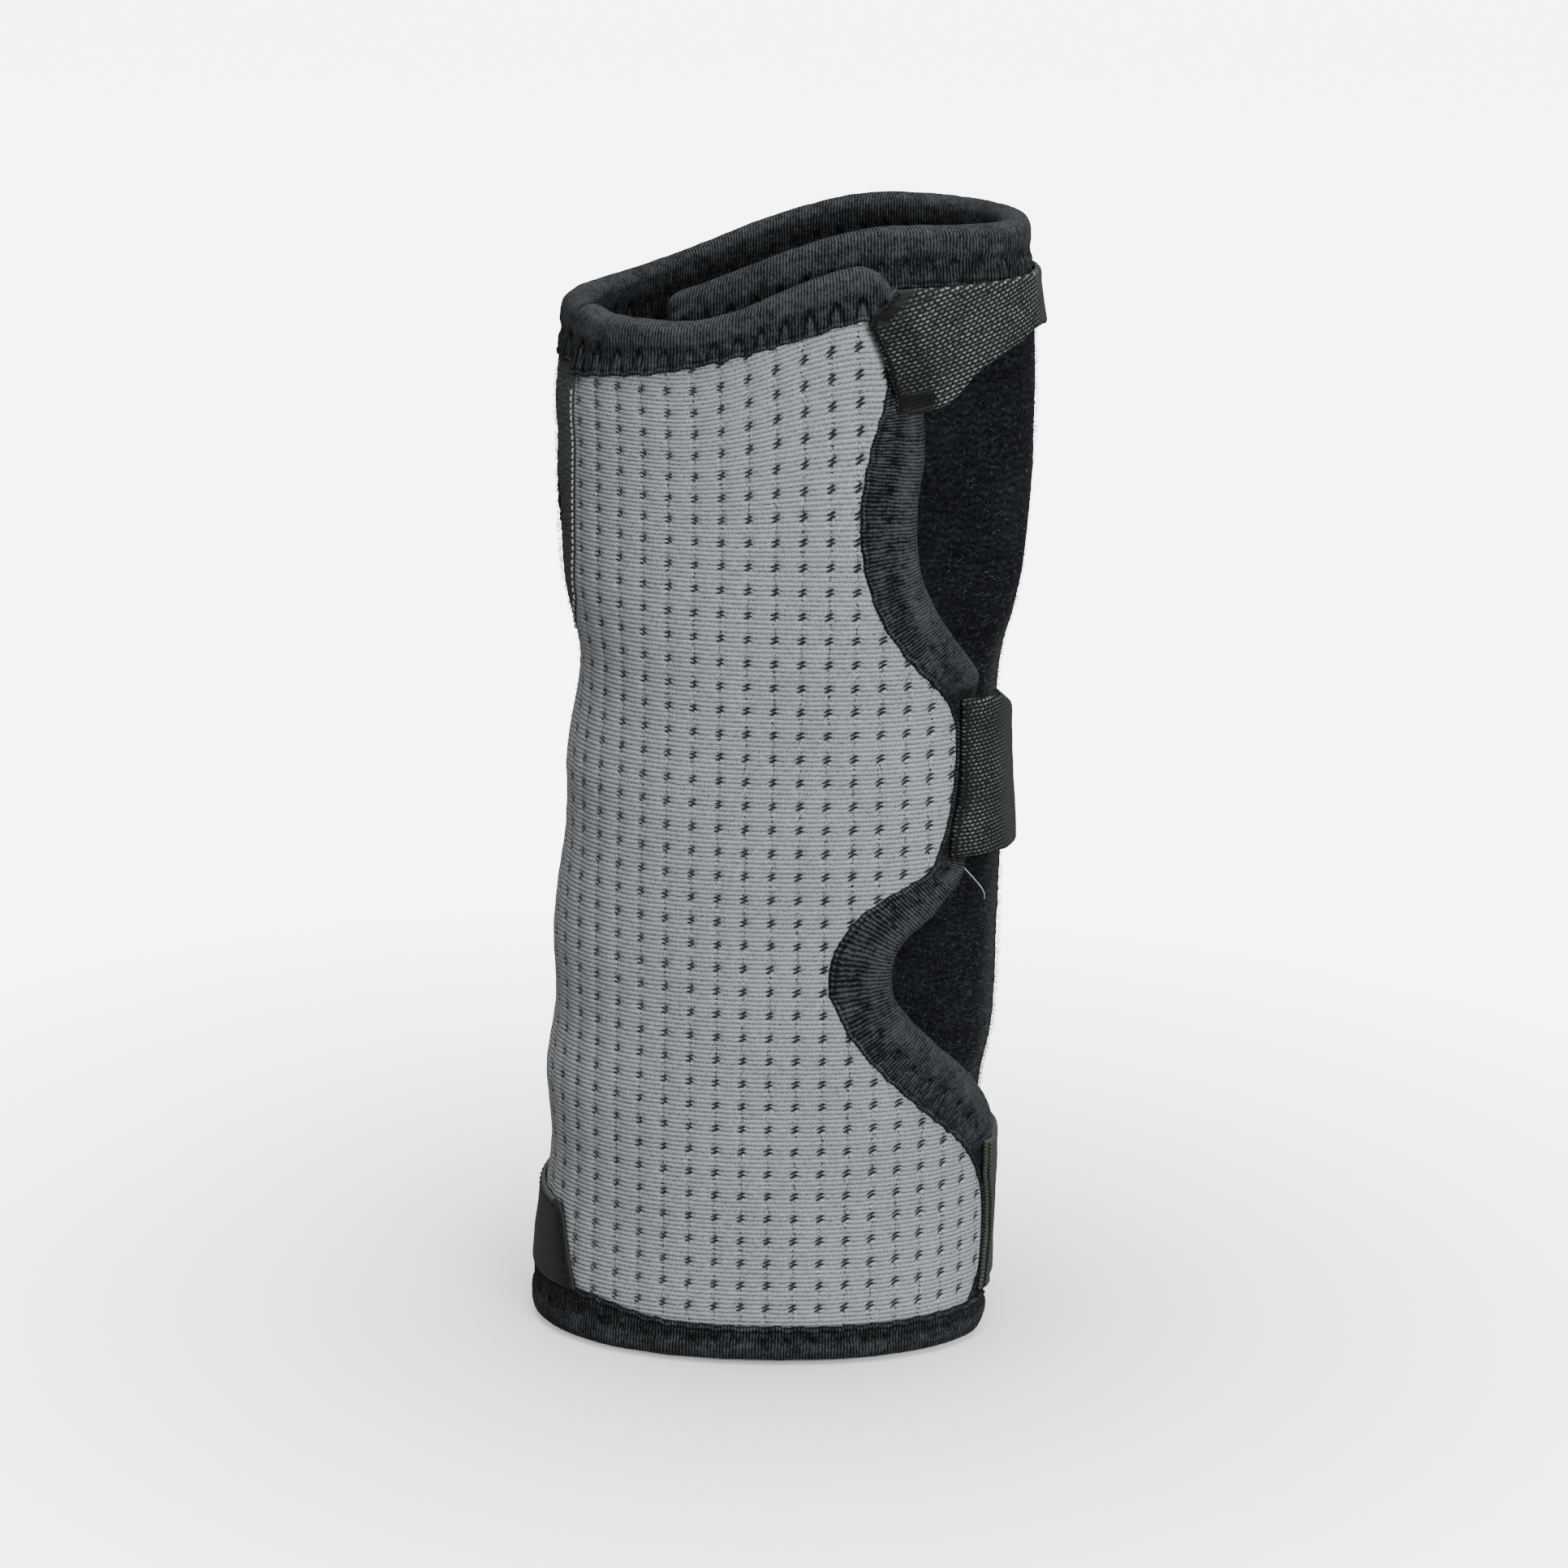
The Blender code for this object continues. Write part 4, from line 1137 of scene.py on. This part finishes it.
def seam_details():
    """Tape inside and the pale flat-lock stitches outside, along the left seam."""
    rows, cols, half = 160, 9, 3.0
    z, off = np.meshgrid(np.linspace(9.4, 171.0, rows), np.linspace(-half, half, cols), indexing="ij")
    s = arc_of(seam(z), z) + off
    inner = wall(angle_of(s, z), z, WALL + 0.75 + 0.1 * noise(s, z, 4.0, 51) - 0.2 * (off / half) ** 2)
    obj = new_object("seam_tape", inner, grid_faces(rows, cols), LINING, np.stack([s, z], -1))
    solidify(obj, 0.4, 1.0)
    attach(obj, "sleeve")
    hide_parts("side_seam_tape")
    paths = []
    k = np.linspace(0, 1, 6)
    for first in np.arange(128.5, 176.0, 1.3):
        s = arc_of(seam(first), first) - 0.35 + 0.15 * k
        z = first + 0.75 * k
        angle = angle_of(s, z)
        paths.append(wall(angle, stretch(z, front_rim(angle)), -0.20 - 0.16 * np.sin(np.pi * k)))
    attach(threads("seam_stitch", paths, 0.15, PALE_THREAD), "sleeve")


POCKET_X, POCKET_BACK, POCKET_FRONT = 1.85, 20.9, 18.35     # its middle, sewn border and inner face
POCKET_HALF, POCKET_Z = 13.0, (15.0, 165.0)


def pocket():
    """Cloth pocket for the stay, with a row of stitches down each side."""
    rows, cols = 150, 60
    z, off = np.meshgrid(np.linspace(*POCKET_Z, rows), np.linspace(-1, 1, cols) * POCKET_HALF, indexing="ij")
    x = POCKET_X + off
    rise = step((POCKET_HALF - np.abs(off)) / 3.6 - 0.15)
    pucker = 0.12 * np.cos(2 * math.pi * z / 6.5) * (1 - rise) + 0.10 * noise(x, z, 14.0, 61)
    y = POCKET_BACK - (POCKET_BACK - POCKET_FRONT) * rise + pucker
    points, uv = np.stack([x, y, z], -1), np.stack([x, z], -1)
    obj = new_object("pocket_cloth", points, grid_faces(rows, cols), LINING, uv)
    solidify(obj, 0.5, 0.0)
    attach(obj, "sleeve")
    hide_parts("stay_pocket", "pocket_stop")
    paths = [np.stack([POCKET_X + side * 11.9 + 0 * K, POCKET_BACK - 0.5 - 0.15 * HUMP, first + 1.8 * K], -1)
             for side in (-1, 1) for first in np.arange(POCKET_Z[0] + 2.0, POCKET_Z[1] - 2.0, 2.6)]
    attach(threads("pocket_stitch", paths, 0.13, BLACK_THREAD), "sleeve")


def loose_thread():
    """One stray thread end under the middle tab."""
    k = np.linspace(0, 1, 24)
    z = 90.5 - 6.5 * k - 0.6 * np.sin(3 * k)
    s = arc_of(318.0, 90.0) + 0.2 + 4.6 * k + 0.7 * np.sin(2.6 * k)
    path = wall(angle_of(s, z), z, -(1.4 + 1.1 * np.sin(math.pi * k)))
    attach(threads("loose_thread", [path], 0.09, PALE_THREAD), "sleeve")


# ---- build ----

front_cloth()
padding("front_foam", "outer_panel_padding", (150, 90), foam_edges, foam_rim, on_wall, 71, foot=front_foot)
loop_panel()
padding("back_foam", "loop_panel_padding", (190, 210), back_edges, back_rim, flap_depth, 75, hole=True)
loop_fibres()
bindings()
for spec in STRAPS:
    strap(spec)
label()
seam_details()
pocket()
loose_thread()
for node, mat in (("palm_stay", METAL), ("stay_tip_top", DIPPED), ("stay_tip_bottom", DIPPED)):
    bpy.data.objects[node].data.materials.clear()
    bpy.data.objects[node].data.materials.append(mat)


# ---- stage ----

FLOOR_GLOW = 6.0
# name, place and size in metres, power in watts
LAMPS = (("key", (0.75, -1.40, 0.70), 1.0, 34.0),
         ("top", (0.1, -0.1, 1.7), 1.3, 36.0))
LAMP_AIM = Vector((0, 0, 0.10))
DISTANCE, ELEVATION, CAMERA_ROLL = 0.800, math.radians(16.0), math.radians(1.0)
AIM_Z, VIEW_WIDTH = 0.0994, 0.277986        # what the camera aims at, and how much it sees across there


def floor_paper():
    """Pale paper, glowing faintly away from the object so that it stays white to its far side."""
    n = Net("pale paper")
    far = n.made(n.node("ShaderNodeVectorMath", operation="LENGTH"), {0: n.place()}, "Value")
    n.put(n.bsdf.inputs["Emission Strength"], (far * 4.0 - 0.10).clamp() * FLOOR_GLOW)
    n.put(n.bsdf.inputs["Emission Color"], (1, 1, 1, 1))
    colour = n.mix(n.noise(900.0, 2.0), (0.93, 0.93, 0.93, 1), (0.96, 0.96, 0.96, 1))
    return n.finish(colour, 0.9, specular=0.1)


def stage():
    """Paper that runs level behind the object and then curves up, two lamps and a soft white sky."""
    side = 6000.0
    depth = np.linspace(-3000.0, 4000.0, 60)
    height = 2500.0 * np.clip((depth - 2000.0) / 2000.0, 0, 1) ** 2
    rows = np.stack([np.stack([x + 0 * depth, depth, height], -1) for x in (-side, side)])
    floor = new_object("floor", rows, grid_faces(2, 60)[:, ::-1], floor_paper())
    floor.visible_diffuse = False
    floor.visible_glossy = False
    for name, place, size, power in LAMPS:
        data = bpy.data.lights.new(name, "AREA")
        data.size = size
        data.energy = power
        lamp = bpy.data.objects.new(name, data)
        lamp.location = place
        lamp.rotation_euler = (LAMP_AIM - Vector(place)).to_track_quat("-Z", "Y").to_euler()
        bpy.context.scene.collection.objects.link(lamp)
    world = bpy.data.worlds.new("studio")
    world.use_nodes = True
    sky = world.node_tree.nodes["Background"]
    sky.inputs["Color"].default_value = (1, 1, 1, 1)
    sky.inputs["Strength"].default_value = 0.34
    bpy.context.scene.world = world


def camera():
    aim = Vector((SHIFT[0] * MM, SHIFT[1] * MM, AIM_Z))
    data = bpy.data.cameras.new("camera")
    data.sensor_width = 36.0
    data.lens = data.sensor_width * DISTANCE / VIEW_WIDTH
    data.clip_end = 50.0
    cam = bpy.data.objects.new("camera", data)
    cam.location = aim + DISTANCE * Vector((0, -math.cos(ELEVATION), math.sin(ELEVATION)))
    look = Euler((math.pi / 2 - ELEVATION, 0, 0)).to_matrix() @ Matrix.Rotation(CAMERA_ROLL, 3, "Z")
    cam.rotation_euler = look.to_euler()
    bpy.context.scene.collection.objects.link(cam)
    bpy.context.scene.camera = cam


stage()
camera()
